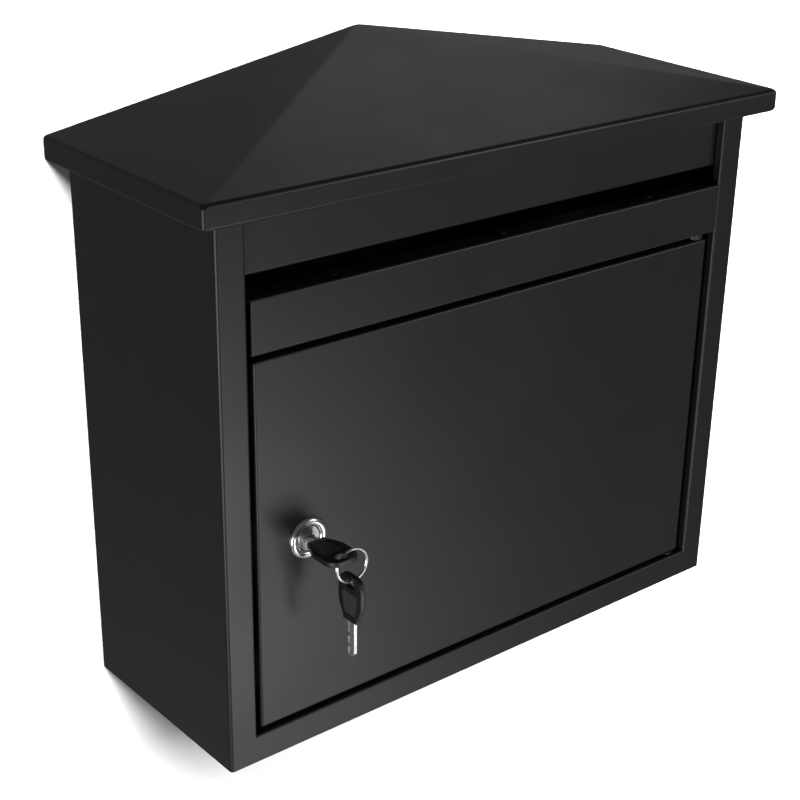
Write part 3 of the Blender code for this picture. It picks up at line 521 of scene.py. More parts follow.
def build_shell():
    """Left wall, front frame and right wall, folded from one sheet."""
    sizes = sheet_sizes()
    lo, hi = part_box("body_shell")
    opening = hi.x - sizes.post_width
    sill = lo.z + sizes.rail_height
    bm = front_sheet(lo.x, hi.x, lo, hi)
    for x in (-opening, opening):
        score(bm, (x, 0, 0), (1, 0, 0))
    score(bm, (0, 0, sill), (0, 0, 1))
    middles = {f: f.calc_center_median() for f in bm.faces}
    window = [f for f, place in middles.items() if abs(place.x) < 1 * MM and place.z > sill]
    bmesh.ops.delete(bm, geom=window, context="FACES")
    around = rim(bm, lambda p: abs(p.x) < opening + MM and p.z > sill - MM and p.z < hi.z - MM)
    inner = fold_out(bm, around, (0, sizes.post_return, 0))
    deeper = sizes.rail_return - sizes.post_return
    fold_out(bm, [e for e in inner if abs(middle(e).x) < 1 * MM], (0, deeper, 0))
    walls = rim(bm, lambda p: abs(p.x) > hi.x - 0.1 * MM)
    fold_out(bm, walls, (0, hi.y - lo.y, 0))
    flange_front, flange_rear = -108 * MM, -12 * MM
    for y in (flange_front, flange_rear):
        score(bm, (0, y, 0), (0, 1, 0))
    tops = rim(bm, lambda p: p.z > hi.z - 0.1 * MM and flange_front < p.y < flange_rear)
    fold_out(bm, tops, lambda p: Vector((math.copysign(sizes.eaves_flange, -p.x), 0, 0)))
    bm.normal_update()
    posts = [e for e in bm.edges if len(e.link_faces) == 2 and abs(middle(e).y - lo.y) < 1e-6
             and abs(middle(e).x) > hi.x - 0.1 * MM]
    round_folds(bm, posts, sizes.corner_radius)
    inner_edges = [
        e for e in bm.edges
        if len(e.link_faces) == 2 and abs(middle(e).y - lo.y) < 1e-6 and e.calc_face_angle(0) > 1.0
    ]
    flange_edges = [e for e in bm.edges if len(e.link_faces) == 2 and middle(e).z > hi.z - 1e-6
                    and e.calc_face_angle(0) > 1.0]
    round_folds(bm, inner_edges + flange_edges, sizes.fold_radius)
    painted("shell_sheet", facing(bm, (0, -1, 0)), "casing", "body_shell")


def build_roof():
    """Half pyramid against the wall, with a lip and a flange folded back under it."""
    sizes = sheet_sizes()
    lo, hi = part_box("roof_cap")
    past = 12 * MM
    eaves = lo.z + sizes.lip_height
    shell_lo, shell_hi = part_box("body_shell")
    flange_x = shell_hi.x - sizes.eaves_flange
    flange_y = shell_lo.y + 20 * MM
    bm = flat_sheet([(lo.x, past, eaves), (lo.x, lo.y, eaves), (hi.x, lo.y, eaves), (hi.x, past, eaves)])
    score(bm, (0, hi.y, 0), (0, 1, 0))
    score(bm, (0, 0, 0), (1, 0, 0))
    spare = [e for e in bm.edges if all(abs(v.co.x) < 1e-6 and v.co.y < hi.y + 1e-6 for v in e.verts)]
    bmesh.ops.dissolve_edges(bm, edges=spare, use_verts=True)
    ridge = [v for v in bm.verts if abs(v.co.x) < 1e-6]
    for vert in ridge:
        vert.co.z += sizes.roof_rise
    apex = min(ridge, key=lambda v: v.co.y)
    rear = max(ridge, key=lambda v: v.co.y)
    fronts = [v for v in bm.verts if abs(v.co.y - lo.y) < 1e-6]
    for vert in fronts + [rear]:
        bmesh.ops.connect_vert_pair(bm, verts=[apex, vert])
    lips = fold_out(bm, rim(bm, lambda p: p.y < past - 1e-6), (0, 0, -sizes.lip_height))

    def inwards(place):
        step = Vector((math.copysign(abs(place.x) - flange_x, -place.x), 0, 0))
        if place.y < lo.y + 1e-6:
            step.y = flange_y - lo.y
        return step

    fold_out(bm, [e for e in lips if middle(e).z < lo.z + 1e-6], inwards)
    bmesh.ops.dissolve_limit(bm, angle_limit=0.001, verts=bm.verts, edges=bm.edges)
    folds = [e for e in bm.edges if len(e.link_faces) == 2]
    round_folds(bm, folds, sizes.roof_radius)
    score(bm, (0, hi.y, 0), (0, 1, 0), trim=True)
    painted("roof_sheet", facing(bm, (0, -1, 1)), "casing", "roof_cap")


def build_channel(name, node, left, right, ear_front=None):
    """A channel that looks to the front; its webs may run on past its face, behind the posts."""
    sizes = sheet_sizes()
    lo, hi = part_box(node)
    bm = front_sheet(left, right, lo, hi)
    for z in (lo.z, hi.z):
        fold_out(bm, rim(bm, lambda p: abs(p.z - z) < 1e-6), (0, hi.y - lo.y, 0))
    if ear_front is not None:
        score(bm, (0, ear_front, 0), (0, 1, 0))
        for end, reach in ((left, lo.x - left), (right, hi.x - right)):
            fold_out(bm, rim(bm, lambda p: abs(p.x - end) < 1e-6 and p.y > ear_front), (reach, 0, 0))
    folds = [e for e in bm.edges if len(e.link_faces) == 2 and e.calc_face_angle(0) > 1.0]
    round_folds(bm, folds, sizes.fold_radius)
    painted(name, facing(bm, (0, -1, 0)), "casing", node)


def build_header():
    sizes = sheet_sizes()
    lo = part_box("front_header")[0]
    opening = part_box("body_shell")[1].x - sizes.post_width
    left_gap, right_gap, ear_setback = 1.1 * MM, 0.4 * MM, 3.0 * MM
    build_channel("header_sheet", "front_header", left_gap - opening, opening - right_gap, lo.y + ear_setback)


def build_slot_rail():
    sizes = sheet_sizes()
    shell_lo, shell_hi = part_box("body_shell")
    opening = shell_hi.x - sizes.post_width
    left_gap, right_gap, ear_gap = 2.2 * MM, 0.8 * MM, 0.5 * MM
    ear_front = shell_lo.y + sizes.post_return + ear_gap
    build_channel("slot_rail_sheet", "slot_rail", left_gap - opening, opening - right_gap, ear_front)


def build_door():
    """Pan-shaped door with folded edges all round."""
    sizes = sheet_sizes()
    lo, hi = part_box("door_panel")
    bm = front_sheet(lo.x, hi.x, lo, hi)
    fold_out(bm, rim(bm, lambda p: True), (0, hi.y - lo.y, 0))
    folds = [e for e in bm.edges if len(e.link_faces) == 2]
    round_folds(bm, folds, sizes.fold_radius)
    painted("door_sheet", facing(bm, (0, -1, 0)), "door", "door_panel")


# ---- lock ----
def centre_of(node):
    lo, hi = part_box(node)
    return (lo + hi) / 2


def build_lock():
    """Chrome cylinder with a rounded rim, the plug with its keyway, and what clamps them behind the door."""
    sizes = hardware_sizes()
    lo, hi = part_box("lock_housing")
    door_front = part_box("door_panel")[0].y
    centre = centre_of("lock_housing").xz
    plug_lo, plug_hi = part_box("lock_plug")
    plug_radius = (plug_hi.x - plug_lo.x) / 2
    bore = plug_radius + 0.25 * MM
    rim_radius = (hi.x - lo.x) / 2
    barrel = rim_radius - 1.9 * MM
    bend = (rim_radius - bore - sizes.bezel_land) / 2
    face = lo.y
    profile = [(bore, face + bend + 0.3 * MM)]
    profile += quarter_round((bore + bend, face + bend), bend, 180, 270, 9)
    profile += quarter_round((rim_radius - bend, face + bend), bend, 270, 360, 9)
    profile += [(rim_radius, door_front - 0.25 * MM), (rim_radius - 0.15 * MM, door_front)]
    profile.append((barrel, door_front))
    turns = int((hi.y - door_front - 1.0 * MM) / sizes.thread_pitch)
    for i in range(turns):
        root = door_front + 0.6 * MM + i * sizes.thread_pitch
        profile += [(barrel, root), (barrel - 0.25 * MM, root + sizes.thread_pitch / 2)]
    profile += [(barrel - 0.2 * MM, hi.y), (bore, hi.y)]
    housing = turned(profile, centre, "Y", closed=True)
    crisp(piece("lock_bezel", housing, chrome_plate(), "door", ["lock_housing"]))

    recess = face + sizes.plug_recess
    plug_profile = [(0, recess), (plug_radius - 0.35 * MM, recess), (plug_radius, recess + 0.35 * MM)]
    plug_profile += [(plug_radius, hi.y + 0.3 * MM), (0, hi.y + 0.3 * MM)]
    plug = turned(plug_profile, centre, "Y")
    plug_piece = piece("lock_core", plug, satin_nickel(), "plug", ["lock_plug"])
    blade_lo, blade_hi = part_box("key_blade")
    half_x = (blade_hi.x - blade_lo.x) / 2 + 0.35 * MM
    half_z = (blade_hi.z - blade_lo.z) / 2 + 0.35 * MM
    keyway = block(
        (centre[0] - half_x, face - MM, centre[1] - half_z),
        (centre[0] + half_x, blade_hi.y + 0.4 * MM, centre[1] + half_z),
    )
    crisp(carve(plug_piece, keyway))

    square = 3.5 * MM
    drive = block(
        (centre[0] - square, hi.y + 0.2 * MM, centre[1] - square),
        (centre[0] + square, plug_hi.y, centre[1] + square),
    )
    soften(piece("lock_drive", drive, zinc_plate(), "plug"), 0.3 * MM)

    nut_lo, nut_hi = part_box("lock_nut")
    flats = nut_hi.z - nut_lo.z
    nut = hexagon_plate(flats, nut_hi.y - nut_lo.y, 0.7 * MM)
    across = Matrix.Translation(centre_of("lock_nut")) @ Matrix.Rotation(math.pi / 2, 4, "X")
    nut_piece = piece("clamping_nut", moved(nut, across), zinc_plate(), "door", ["lock_nut"])
    crisp(carve(nut_piece, rod(centre, barrel + 0.3 * MM, nut_lo.y - MM, nut_hi.y + MM, "Y")))


def hexagon_plate(flats, thickness, edge):
    """A hexagonal plate in the XY plane with its rim chamfered, points along X."""
    bm = bmesh.new()
    radius = flats / math.sqrt(3)
    bmesh.ops.create_circle(bm, cap_ends=True, segments=6, radius=radius)
    moved(bm, Matrix.Translation((0, 0, -thickness / 2)) @ Matrix.Rotation(math.radians(30), 4, "Z"))
    raise_plate(bm, thickness)
    round_folds(bm, level_edges(bm, False), edge, 3)
    round_folds(bm, level_edges(bm), edge * 0.5, 2)
    return bm


def build_cam():
    """Cam on the plug's square end, with its washer and bolt."""
    lo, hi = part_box("lock_cam")
    centre = centre_of("lock_housing").xz
    root = (hi.x - lo.x) / 2
    tip = root - 2.0 * MM
    depth = hi.y - lo.y
    length = centre[1] - lo.z
    corners = [
        (-root, -root, root * 0.98), (root, -root, root * 0.98),
        (tip, length, tip * 0.98), (-tip, length, tip * 0.98),
    ]
    plate = rounded_plate(corners, depth, 0.25 * MM, 10)
    upright = Matrix.Rotation(-math.pi / 2, 4, "X")
    place = Matrix.Translation((centre[0], (lo.y + hi.y) / 2, centre[1])) @ upright
    cam = piece("cam_plate", moved(plate, place), zinc_plate(), "plug", ["lock_cam"])
    square = 3.7 * MM
    hole = block(
        (centre[0] - square, lo.y - MM, centre[1] - square),
        (centre[0] + square, hi.y + MM, centre[1] + square),
    )
    crisp(carve(cam, hole))

    lo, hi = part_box("cam_washer")
    outer = (hi.x - lo.x) / 2
    ring = [(2.6 * MM, lo.y), (outer - 0.15 * MM, lo.y), (outer, lo.y + 0.15 * MM), (outer, hi.y - 0.15 * MM)]
    ring += [(outer - 0.15 * MM, hi.y), (2.6 * MM, hi.y)]
    washer = turned(ring, centre, "Y", closed=True)
    crisp(piece("washer", washer, zinc_plate(), "plug", ["cam_washer"]))

    lo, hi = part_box("cam_bolt")
    flats = hi.z - lo.z
    height = 3.2 * MM
    head = hexagon_plate(flats, height, 0.4 * MM)
    across = Matrix.Rotation(math.pi / 2, 4, "X")
    place = Matrix.Translation((centre[0], hi.y - height / 2, centre[1])) @ across
    crisp(piece("bolt_head", moved(head, place), zinc_plate(), "plug", ["cam_bolt"]))
    shank = turned(threaded(0, lo.y, hi.y - height, 2.1 * MM), centre, "Y")
    crisp(piece("bolt_shank", shank, zinc_plate(), "plug"))


def threaded(inner, start, end, radius):
    """Profile of a threaded stretch from start to end, closed on the inner radius."""
    pitch = hardware_sizes().thread_pitch
    way = math.copysign(1.0, end - start)
    profile = [(inner, start), (radius - 0.3 * MM, start)]
    turns = int((abs(end - start) - 0.4 * MM) / pitch)
    for i in range(turns):
        at = start + way * (0.3 * MM + i * pitch)
        profile += [(radius, at), (radius - 0.28 * MM, at + way * pitch / 2)]
    return profile + [(radius, end), (inner, end)]


# ---- keys ----
def key_frames():
    """Each key's body, with its own frame and its blade's grain; the frame has the eye at its origin, +Y to
    the tip and +Z out of the flat side."""
    to_end = hardware_sizes().eye_to_end
    lo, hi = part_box("key_bow")
    eye = Vector(((lo.x + hi.x) / 2, lo.y + to_end, (lo.z + hi.z) / 2))
    lo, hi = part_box("spare_key_bow")
    spare_eye = Vector(((lo.x + hi.x) / 2, (lo.y + hi.y) / 2, hi.z - to_end))
    hanging = Matrix(((0, 0, -1), (1, 0, 0), (0, -1, 0))).to_4x4()
    return {
        "key": (Matrix.Translation(eye), (1.0, 0.04, 1.0)),
        "spare_key": (Matrix.Translation(spare_eye) @ hanging, (1.0, 1.0, 0.04)),
    }


def build_keys():
    """Moulded bows with a sunk panel on each side, and milled blades."""
    sizes = hardware_sizes()
    lo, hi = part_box("key_bow")
    width, length, thickness = hi.x - lo.x, hi.y - lo.y, hi.z - lo.z
    half, end, shoulder = width / 2, -sizes.eye_to_end, length - sizes.eye_to_end
    neck, flare, waist = half - 4.0 * MM, shoulder - 1.5 * MM, 12.0 * MM
    for body, (place, grain) in key_frames().items():
        corners = [
            (-half, end, 6.5 * MM), (half, end, 6.5 * MM), (half, waist, 3.0 * MM), (neck, flare, 0.8 * MM),
            (neck, shoulder, 0.5 * MM), (-neck, shoulder, 0.5 * MM), (-neck, flare, 0.8 * MM),
            (-half, waist, 3.0 * MM),
        ]
        bow = rounded_plate(corners, thickness, sizes.bow_edge, 7)
        plastic = moulded_plastic("moulded_black_plastic", 1.0, 0.46)
        bow_piece = piece(f"{body}_grip", moved(bow, place), plastic, body, [f"{body}_bow"])
        for side in (-1, 1):
            panel = rounded_plate(
                [(-half + 2.6 * MM, 5.0 * MM, 2.0 * MM), (half - 2.6 * MM, 5.0 * MM, 2.0 * MM),
                 (neck - 1.2 * MM, shoulder - 3.4 * MM, 1.2 * MM),
                 (1.2 * MM - neck, shoulder - 3.4 * MM, 1.2 * MM)],
                0.7 * MM, 0, 6,
            )
            sunk = Matrix.Translation((0, 0, side * thickness / 2))
            carve(bow_piece, moved(panel, place @ sunk))
        # The sunk panels' floors take a lighter, glossier grey: partly a lighter insert, partly a painted
        # sheen standing for the light that the bow's flat faces catch.
        bow_piece.data.materials.append(moulded_plastic("grey_panel_and_painted_sheen", 4.5, 0.3))
        into_key = place.inverted()
        for face in bow_piece.data.polygons:
            if abs(abs((into_key @ face.center).z) - (thickness / 2 - 0.35 * MM)) < 0.02 * MM:
                face.material_index = 1
        eye = rounded_plate(
            [(-4.1 * MM, -2.5 * MM, 2.45 * MM), (4.1 * MM, -2.5 * MM, 2.45 * MM),
             (4.1 * MM, 2.5 * MM, 2.45 * MM), (-4.1 * MM, 2.5 * MM, 2.45 * MM)],
            2 * thickness, 0, 8,
        )
        crisp(carve(bow_piece, moved(eye, place)))
        build_blade(body, place, grain)


def build_blade(body, place, grain):
    """Nickel blade with a milled groove on each side and cuts of different depth along one edge."""
    sizes = hardware_sizes()
    lo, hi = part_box("key_blade")
    bow_lo, bow_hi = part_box("key_bow")
    eye_y = bow_lo.y + sizes.eye_to_end
    half, thickness = (hi.x - lo.x) / 2, hi.z - lo.z
    root, tip, shoulder = lo.y - eye_y, hi.y - eye_y, bow_hi.y - eye_y
    corners = [(-half, root, 0), (half, root, 0)]
    pitch, flat = 3.2 * MM, 0.45 * MM
    for i, depth in enumerate((1.4 * MM, 2.3 * MM, 1.0 * MM, 1.9 * MM)):
        at = shoulder + 5.0 * MM + i * pitch
        corners += [
            (half, at - pitch / 2 + 0.1 * MM, 0), (half - depth, at - flat, 0),
            (half - depth, at + flat, 0), (half, at + pitch / 2 - 0.1 * MM, 0),
        ]
    corners += [(half, tip - 2.6 * MM, 0), (0.6 * MM, tip, 0)]
    corners += [(-0.6 * MM, tip, 0), (-half, tip - 2.6 * MM, 0)]
    blade = rounded_plate(corners, thickness, 0)
    finish = nickel_plate(f"nickel_{body}", grain)
    blade_piece = piece(f"{body}_shank", moved(blade, place), finish, body, [f"{body}_blade"])
    for side in (-1, 1):
        groove = block(
            (side * 0.9 * MM - 0.55 * MM, shoulder + 1.0 * MM, side * thickness * 0.28),
            (side * 0.9 * MM + 0.55 * MM, tip + MM, side * thickness),
        )
        carve(blade_piece, moved(groove, place))
    soften(crisp(blade_piece), 0.12 * MM, 1)


def build_ring():
    """Split ring: two touching turns of flattened wire."""
    lo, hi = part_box("key_ring")
    centre = (lo + hi) / 2
    clearance, wire_width, air, edge = 0.55 * MM, 1.15 * MM, 0.02 * MM, 0.2 * MM
    outer = (hi.x - lo.x) / 2 - clearance
    inner = outer - wire_width
    thick = (hi.y - lo.y) / 3 - air
    bm = bmesh.new()
    section = [
        (inner + edge, -thick / 2), (outer - edge, -thick / 2),
        (outer, -thick / 2 + edge), (outer, thick / 2 - edge),
        (outer - edge, thick / 2), (inner + edge, thick / 2),
        (inner, thick / 2 - edge), (inner, -thick / 2 + edge),
    ]
    pitch = thick + air
    start = [bm.verts.new((r, 0.0, h - pitch)) for r, h in section]
    face = bm.faces.new(start)
    steps = 180
    bmesh.ops.spin(
        bm, geom=[face], cent=(0, 0, 0), axis=(0, 0, 1), angle=2 * math.tau, steps=steps,
        dvec=(0, 0, 2 * pitch / steps), use_duplicate=False,
    )
    bmesh.ops.remove_doubles(bm, verts=bm.verts, dist=1e-8)
    bmesh.ops.recalc_face_normals(bm, faces=bm.faces)
    upright = Matrix.Rotation(-math.pi / 2, 4, "X")
    place = Matrix.Translation(centre) @ upright @ Matrix.Rotation(math.radians(200), 4, "Z")
    finish = nickel_plate("nickel_ring", (1.0, 1.0, 1.0))
    crisp(piece("split_ring", moved(bm, place), finish, "ring", ["key_ring"]), 40)


# ---- hinge and fasteners ----
def nodes_called(prefix):
    return sorted(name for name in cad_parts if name.startswith(prefix))


def build_hinge():
    """Headed pins through the door's folded edges, turning in nylon bushes."""
    for node in nodes_called("hinge_pin_"):
        lo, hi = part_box(node)
        head = (hi.x - lo.x) / 2
        up = node.endswith("upper")
        base, way = (lo.z, 1.0) if up else (hi.z, -1.0)
        length = hi.z - lo.z
        outline = [
            (0, 0), (head - 0.6 * MM, 0), (head - 0.15 * MM, 0.15 * MM), (head, 0.5 * MM), (head, 1.3 * MM),
            (2.0 * MM, 1.3 * MM), (2.0 * MM, length - 0.6 * MM), (1.4 * MM, length), (0, length),
        ]
        profile = [(radius, base + way * along) for radius, along in outline]
        pin = turned(profile, centre_of(node).xy, "Z")
        crisp(piece(node.replace("hinge_pin", "door_pin"), pin, zinc_plate(), "door", [node]))
    for node in nodes_called("hinge_bush_"):
        lo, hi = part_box(node)
        collar = (hi.x - lo.x) / 2
        up = node.endswith("upper")
        base, way = (lo.z, 1.0) if up else (hi.z, -1.0)
        flange = hi.z - lo.z - 2.5 * MM
        bore, sleeve, soft = 2.35 * MM, 3.6 * MM, 0.3 * MM
        top = base + way * (hi.z - lo.z)
        profile = [
            (bore + soft, base), (collar - soft, base), (collar, base + way * soft),
            (collar, base + way * (flange - soft)), (collar - soft, base + way * flange),
            (sleeve, base + way * flange), (sleeve, top - way * soft), (sleeve - soft, top), (bore, top),
            (bore, base + way * soft),
        ]
        bush = turned(profile, centre_of(node).xy, "Z", closed=True)
        crisp(piece(node.replace("hinge_bush", "bush"), bush, black_nylon(), "casing", [node]))


def build_fasteners():
    """Roof screws and nuts, guard rivets, and the door stops' rubber pads."""
    for node in nodes_called("roof_screw_"):
        lo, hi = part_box(node)
        head, tall = (hi.x - lo.x) / 2, 2.4 * MM
        profile = [(0, lo.z + 0.9 * MM), (0.9 * MM, lo.z + 0.9 * MM)]
        profile += [(1.3 * MM, lo.z), (head - 1.3 * MM, lo.z)]
        profile += quarter_round((head - 1.3 * MM, lo.z + 1.3 * MM), 1.3 * MM, -90, 0, 4)
        profile += [(head, lo.z + tall)] + threaded(0, lo.z + tall, hi.z, 1.9 * MM)[1:]
        screw = turned(profile, centre_of(node).xy, "Z")
        name = node.replace("roof_screw", "pan_screw")
        crisp(piece(name, screw, zinc_plate(), "casing", [node]))
    for node in nodes_called("roof_nut_"):
        lo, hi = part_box(node)
        nut = moved(hexagon_plate(hi.y - lo.y, hi.z - lo.z, 0.35 * MM), Matrix.Translation(centre_of(node)))
        name = node.replace("roof_nut", "hex_nut")
        nut_piece = piece(name, nut, zinc_plate(), "casing", [node])
        centre = centre_of(node).xy
        crisp(carve(nut_piece, rod(centre, 2.2 * MM, lo.z - MM, hi.z + MM, "Z")))
    for node in nodes_called("guard_rivet_"):
        lo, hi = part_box(node)
        head = (hi.x - lo.x) / 2
        profile = [(0, lo.z)] + quarter_round((1.6 * MM, lo.z + 0.8 * MM), 0.8 * MM, -90, 0, 4)
        profile += [(2.4 * MM, lo.z + 1.4 * MM), (1.6 * MM, lo.z + 1.4 * MM), (1.6 * MM, hi.z - 1.1 * MM)]
        profile += [(head, hi.z - 1.1 * MM), (head - 0.2 * MM, hi.z - 0.75 * MM)]
        profile += [(head - 0.9 * MM, hi.z - 0.25 * MM), (head - 2.0 * MM, hi.z), (0.9 * MM, hi.z)]
        profile += [(0.7 * MM, hi.z - 0.5 * MM), (0, hi.z - 0.5 * MM)]
        rivet = turned(profile, centre_of(node).xy, "Z")
        name = node.replace("guard_rivet", "pop_rivet")
        crisp(piece(name, rivet, black_powder_coat(), "casing", [node]))
    for node in nodes_called("stop_pad_"):
        lo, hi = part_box(node)
        radius = (hi.x - lo.x) / 2
        profile = [(0, lo.y), (radius - 0.8 * MM, lo.y)]
        profile += quarter_round((radius - 0.8 * MM, lo.y + 0.8 * MM), 0.8 * MM, -90, 0, 4)
        profile += [(radius, hi.y), (0, hi.y)]
        pad = turned(profile, centre_of(node).xz, "Y")
        crisp(piece(node.replace("stop_pad", "pad"), pad, black_rubber(), "casing", [node]))


def finish_carried_nodes():
    """Give each CAD node that still shows its procedural finish."""
    finishes = {
        "back_panel": black_powder_coat, "floor_panel": black_powder_coat, "slot_guard": black_powder_coat,
        "strike_bracket": zinc_plate, "stop_bracket_upper": zinc_plate, "stop_bracket_lower": zinc_plate,
    }
    for node, finish in finishes.items():
        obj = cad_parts[node]
        obj.data.materials.clear()
        obj.data.materials.append(finish())


# ---- stage ----
def wall_material():
    """Pale wall that is seen only from its front, so that the object's back can be looked at."""
    look = bpy.context.scene.mailbox_studio
    mat = bpy.data.materials.new("pale_wall")
    mat.use_nodes = True
    nodes, links = mat.node_tree.nodes, mat.node_tree.links
    nodes.clear()
    output = nodes.new("ShaderNodeOutputMaterial")
    mix = nodes.new("ShaderNodeMixShader")
    paint = nodes.new("ShaderNodeBsdfDiffuse")
    paint.inputs["Color"].default_value = (*look.wall, 1.0)
    side = nodes.new("ShaderNodeNewGeometry")
    links.new(side.outputs["Backfacing"], mix.inputs["Fac"])
    links.new(paint.outputs["BSDF"], mix.inputs[1])
    links.new(nodes.new("ShaderNodeBsdfTransparent").outputs["BSDF"], mix.inputs[2])
    links.new(mix.outputs["Shader"], output.inputs["Surface"])
    return mat


def stage_sheet(name, half, material, matrix):
    bm = bmesh.new()
    bmesh.ops.create_grid(bm, x_segments=1, y_segments=1, size=half, matrix=matrix)
    mesh = bpy.data.meshes.new(name)
    bm.to_mesh(mesh)
    bm.free()
    mesh.materials.append(material)
    obj = bpy.data.objects.new(name, mesh)
    bpy.context.scene.collection.objects.link(obj)
    return obj


def soft_lamp(name, place, target, size, watts, lit=None):
    """A rectangular lamp that isn't seen; lit is the collection of objects that it lights, or all."""
    lamp = bpy.data.lights.new(name, "AREA")
    lamp.shape = "RECTANGLE"
    lamp.size, lamp.size_y = size
    lamp.energy = watts
    obj = bpy.data.objects.new(name, lamp)
    obj.location = place
    obj.rotation_euler = (Vector(target) - Vector(place)).to_track_quat("-Z", "Y").to_euler()
    obj.visible_camera = False
    obj.light_linking.receiver_collection = lit
    bpy.context.scene.collection.objects.link(obj)


def light_group(name, *objects):
    group = bpy.data.collections.new(name)
    for obj in objects:
        group.objects.link(obj)
    return group


def seen_only(obj):
    """Leave an object to the camera: it casts no light, shade or reflection on the others."""
    for ray in ("visible_diffuse", "visible_glossy", "visible_transmission", "visible_shadow"):
        setattr(obj, ray, False)


def build_stage():
    """Wall, floor, lamps and room light. Of two floor sheets one is seen and the other throws light up."""
    look = bpy.context.scene.mailbox_studio
    upright = Matrix.Translation((0, WALL_PLANE_Y, 0.3)) @ Matrix.Rotation(math.pi / 2, 4, "X")
    wall = stage_sheet("wall", 1.6, wall_material(), upright)
    seen_only(wall)
    floor_paint = Finish("pale_floor", look.wall, 0.0, 0.7)
    floor_paint.vary_roughness(floor_paint.noise(3.0), 0.6, 0.8)
    ground = stage_sheet("floor", 4.0, floor_paint.material, Matrix.Translation((0, 0, FLOOR_Z)))
    ground.visible_camera = False
    pale = stage_sheet("floor_seen", 4.0, floor_paint.material, Matrix.Translation((0, 0, FLOOR_Z + MM)))
    seen_only(pale)

    spared = light_group("wall_spared", wall)
    spared.collection_objects[0].light_linking.link_state = "EXCLUDE"
    alone = light_group("wall_alone", wall)
    behind = light_group("rear_lit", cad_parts["back_panel"], ground)
    underfoot = light_group("floor_alone", pale)
    lamps = (
        ("key_lamp", (1.0, -1.35, 0.35), (0, -0.06, 0), (0.35, 0.35), look.key_power),
        ("floor_lamp", (0.12, -0.88, -0.48), (-0.1, -0.1, -0.03), (0.44, 0.4), look.floor_power, spared),
        ("wall_lamp", (-1.0, -1.5, 1.6), (-0.05, 0, 0), (0.9, 0.7), look.wall_power, alone),
        ("side_lamp", (-1.1, -0.75, -0.35), (-0.1, -0.1, 0), (0.5, 0.5), look.side_power, spared),
        ("wall_lamp_right", (1.6, -0.45, 0.28), (0, 0, -0.15), (0.3, 0.3), look.graze_power, alone),
        ("rear_lamp", (0.5, 1.2, 0.6), (0, 0, 0), (0.8, 0.8), look.rear_power, behind),
        ("floor_wash", (0, -2.0, 1.6), (0, -1.2, -1.1), (2.0, 2.0), look.floor_wash_power, underfoot),
        ("roof_lamp", (0.9, 0.75, 0.95), (0, -0.06, 0.16), (0.6, 0.6), look.roof_power),
    )
    for lamp in lamps:
        soft_lamp(*lamp)
    build_room_light()
    bpy.context.scene.view_settings.view_transform = "Standard"


def build_room_light():
    """White where it is seen; as light it is dim in front of the wall and brighter behind it."""
    look = bpy.context.scene.mailbox_studio
    world = bpy.data.worlds.new("studio")
    bpy.context.scene.world = world
    world.use_nodes = True
    nodes, links = world.node_tree.nodes, world.node_tree.links
    backdrop = nodes["Background"]
    room = nodes.new("ShaderNodeBackground")
    room.inputs["Color"].default_value = (1.0, 1.0, 1.0, 1.0)
    heading = nodes.new("ShaderNodeTexCoord")
    split = nodes.new("ShaderNodeSeparateXYZ")
    links.new(heading.outputs["Generated"], split.inputs["Vector"])
    depth = nodes.new("ShaderNodeMapRange")
    depth.inputs["From Min"].default_value = -0.3
    depth.inputs["From Max"].default_value = 0.7
    depth.inputs["To Min"].default_value = look.ambient
    depth.inputs["To Max"].default_value = look.ambient_rear
    links.new(split.outputs["Y"], depth.inputs["Value"])
    links.new(depth.outputs["Result"], room.inputs["Strength"])
    backdrop.inputs["Color"].default_value = (1.0, 1.0, 1.0, 1.0)
    backdrop.inputs["Strength"].default_value = 1.0
    mix = nodes.new("ShaderNodeMixShader")
    links.new(nodes.new("ShaderNodeLightPath").outputs["Is Camera Ray"], mix.inputs["Fac"])
    links.new(room.outputs["Background"], mix.inputs[1])
    links.new(backdrop.outputs["Background"], mix.inputs[2])
    links.new(mix.outputs["Shader"], nodes["World Output"].inputs["Surface"])


def build_camera():
    look = bpy.context.scene.mailbox_studio
    heading, tilt, roll = look.camera_turn
    reach = math.cos(tilt)
    ahead = Vector((math.sin(heading) * reach, math.cos(heading) * reach, math.sin(tilt)))
    right = Vector((math.cos(heading), -math.sin(heading), 0))
    up = right.cross(ahead)
    level = Matrix((right, up, -ahead)).transposed()
    lens = bpy.data.cameras.new("camera")
    lens.lens = look.focal_length / MM
    lens.sensor_width = 36.0
    lens.shift_x, lens.shift_y = look.camera_shift
    lens.clip_start, lens.clip_end = 0.01, 50.0
    camera = bpy.data.objects.new("camera", lens)
    turned_level = level @ Matrix.Rotation(roll, 3, "Z")
    camera.matrix_world = Matrix.Translation(look.camera_place) @ turned_level.to_4x4()
    bpy.context.scene.collection.objects.link(camera)
    bpy.context.scene.camera = camera


# ---- operators ----
class MAILBOX_OT_shell(bpy.types.Operator):
    """Fold the walls and the front frame from one sheet"""

    bl_idname = "mailbox.shell"
    bl_label = "Body shell"

    def execute(self, context):
        build_shell()
        return {"FINISHED"}


class MAILBOX_OT_roof(bpy.types.Operator):
    """Fold the roof with its lip"""

    bl_idname = "mailbox.roof"
    bl_label = "Roof"

    def execute(self, context):
        build_roof()
        return {"FINISHED"}


class MAILBOX_OT_channels(bpy.types.Operator):
    """Fold the header over the mail slot and the rail under it"""

    bl_idname = "mailbox.channels"
    bl_label = "Header and slot rail"

    def execute(self, context):
        build_header()
        build_slot_rail()
        return {"FINISHED"}


class MAILBOX_OT_door(bpy.types.Operator):
    """Fold the door"""

    bl_idname = "mailbox.door"
    bl_label = "Door"

    def execute(self, context):
        build_door()
        return {"FINISHED"}


class MAILBOX_OT_lock(bpy.types.Operator):
    """Turn the lock's rim and plug, and make its nut, cam, washer and bolt"""

    bl_idname = "mailbox.lock"
    bl_label = "Lock"

    def execute(self, context):
        build_lock()
        build_cam()
        return {"FINISHED"}


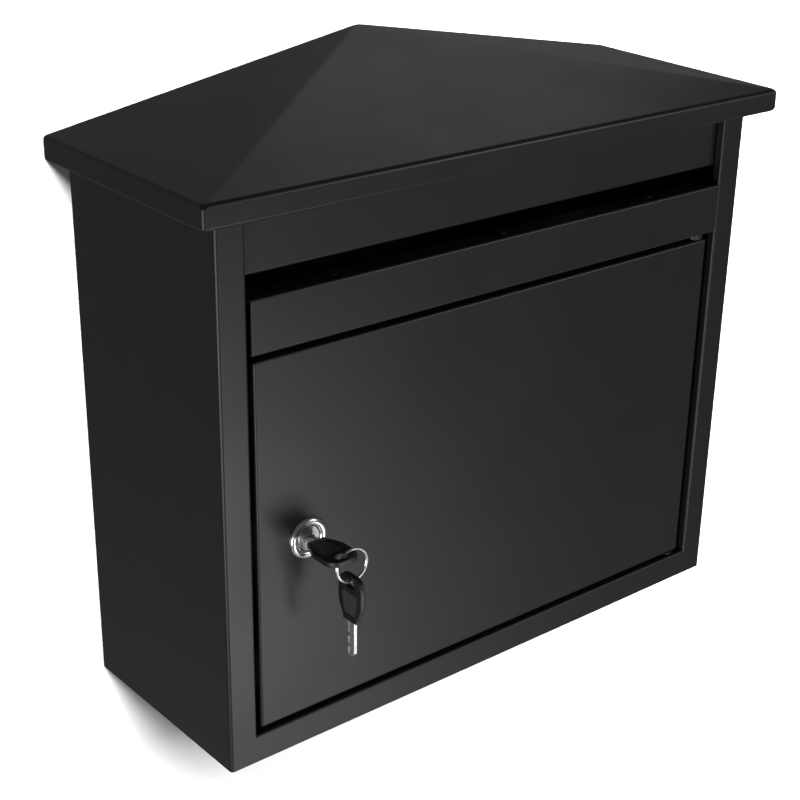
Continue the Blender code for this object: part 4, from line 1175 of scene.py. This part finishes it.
class MAILBOX_OT_keys(bpy.types.Operator):
    """Make the key in the lock, the split ring and the spare key"""

    bl_idname = "mailbox.keys"
    bl_label = "Keys and ring"

    def execute(self, context):
        build_keys()
        build_ring()
        return {"FINISHED"}


class MAILBOX_OT_hardware(bpy.types.Operator):
    """Make the hinge pins and bushes, the screws, nuts, rivets and pads"""

    bl_idname = "mailbox.hardware"
    bl_label = "Hinge and fasteners"

    def execute(self, context):
        build_hinge()
        build_fasteners()
        return {"FINISHED"}


class MAILBOX_OT_inner_sheets(bpy.types.Operator):
    """Finish the back, the floor, the guard plate and the brackets"""

    bl_idname = "mailbox.inner_sheets"
    bl_label = "Inner sheets and brackets"

    def execute(self, context):
        finish_carried_nodes()
        return {"FINISHED"}


class MAILBOX_OT_stage(bpy.types.Operator):
    """Set up the wall, the floor, the lamps and the camera"""

    bl_idname = "mailbox.stage"
    bl_label = "Stage"

    def execute(self, context):
        build_stage()
        build_camera()
        return {"FINISHED"}


OPERATORS = (
    MAILBOX_OT_shell, MAILBOX_OT_roof, MAILBOX_OT_channels, MAILBOX_OT_door, MAILBOX_OT_lock, MAILBOX_OT_keys,
    MAILBOX_OT_hardware, MAILBOX_OT_inner_sheets, MAILBOX_OT_stage,
)


class MAILBOX_PT_panel(bpy.types.Panel):
    """The mailbox's pieces, in the order in which they are made."""

    bl_label = "Wall mailbox"
    bl_idname = "MAILBOX_PT_panel"
    bl_space_type = "VIEW_3D"
    bl_region_type = "UI"
    bl_category = "Mailbox"

    def draw(self, context):
        for operator in OPERATORS:
            self.layout.operator(operator.bl_idname)


GROUPS = {
    "mailbox_sheet": MailboxSheetSizes,
    "mailbox_hardware": MailboxHardwareSizes,
    "mailbox_finishes": MailboxFinishes,
    "mailbox_studio": MailboxStudio,
}


def register():
    for name, group in GROUPS.items():
        bpy.utils.register_class(group)
        setattr(bpy.types.Scene, name, PointerProperty(type=group))
    for cls in (*OPERATORS, MAILBOX_PT_panel):
        bpy.utils.register_class(cls)


def unregister():
    for cls in reversed((*OPERATORS, MAILBOX_PT_panel)):
        bpy.utils.unregister_class(cls)
    for name, group in GROUPS.items():
        delattr(bpy.types.Scene, name)
        bpy.utils.unregister_class(group)


def main():
    register()
    for operator in OPERATORS:
        group, name = operator.bl_idname.split(".")
        getattr(getattr(bpy.ops, group), name)()


if __name__ == "__main__":
    main()
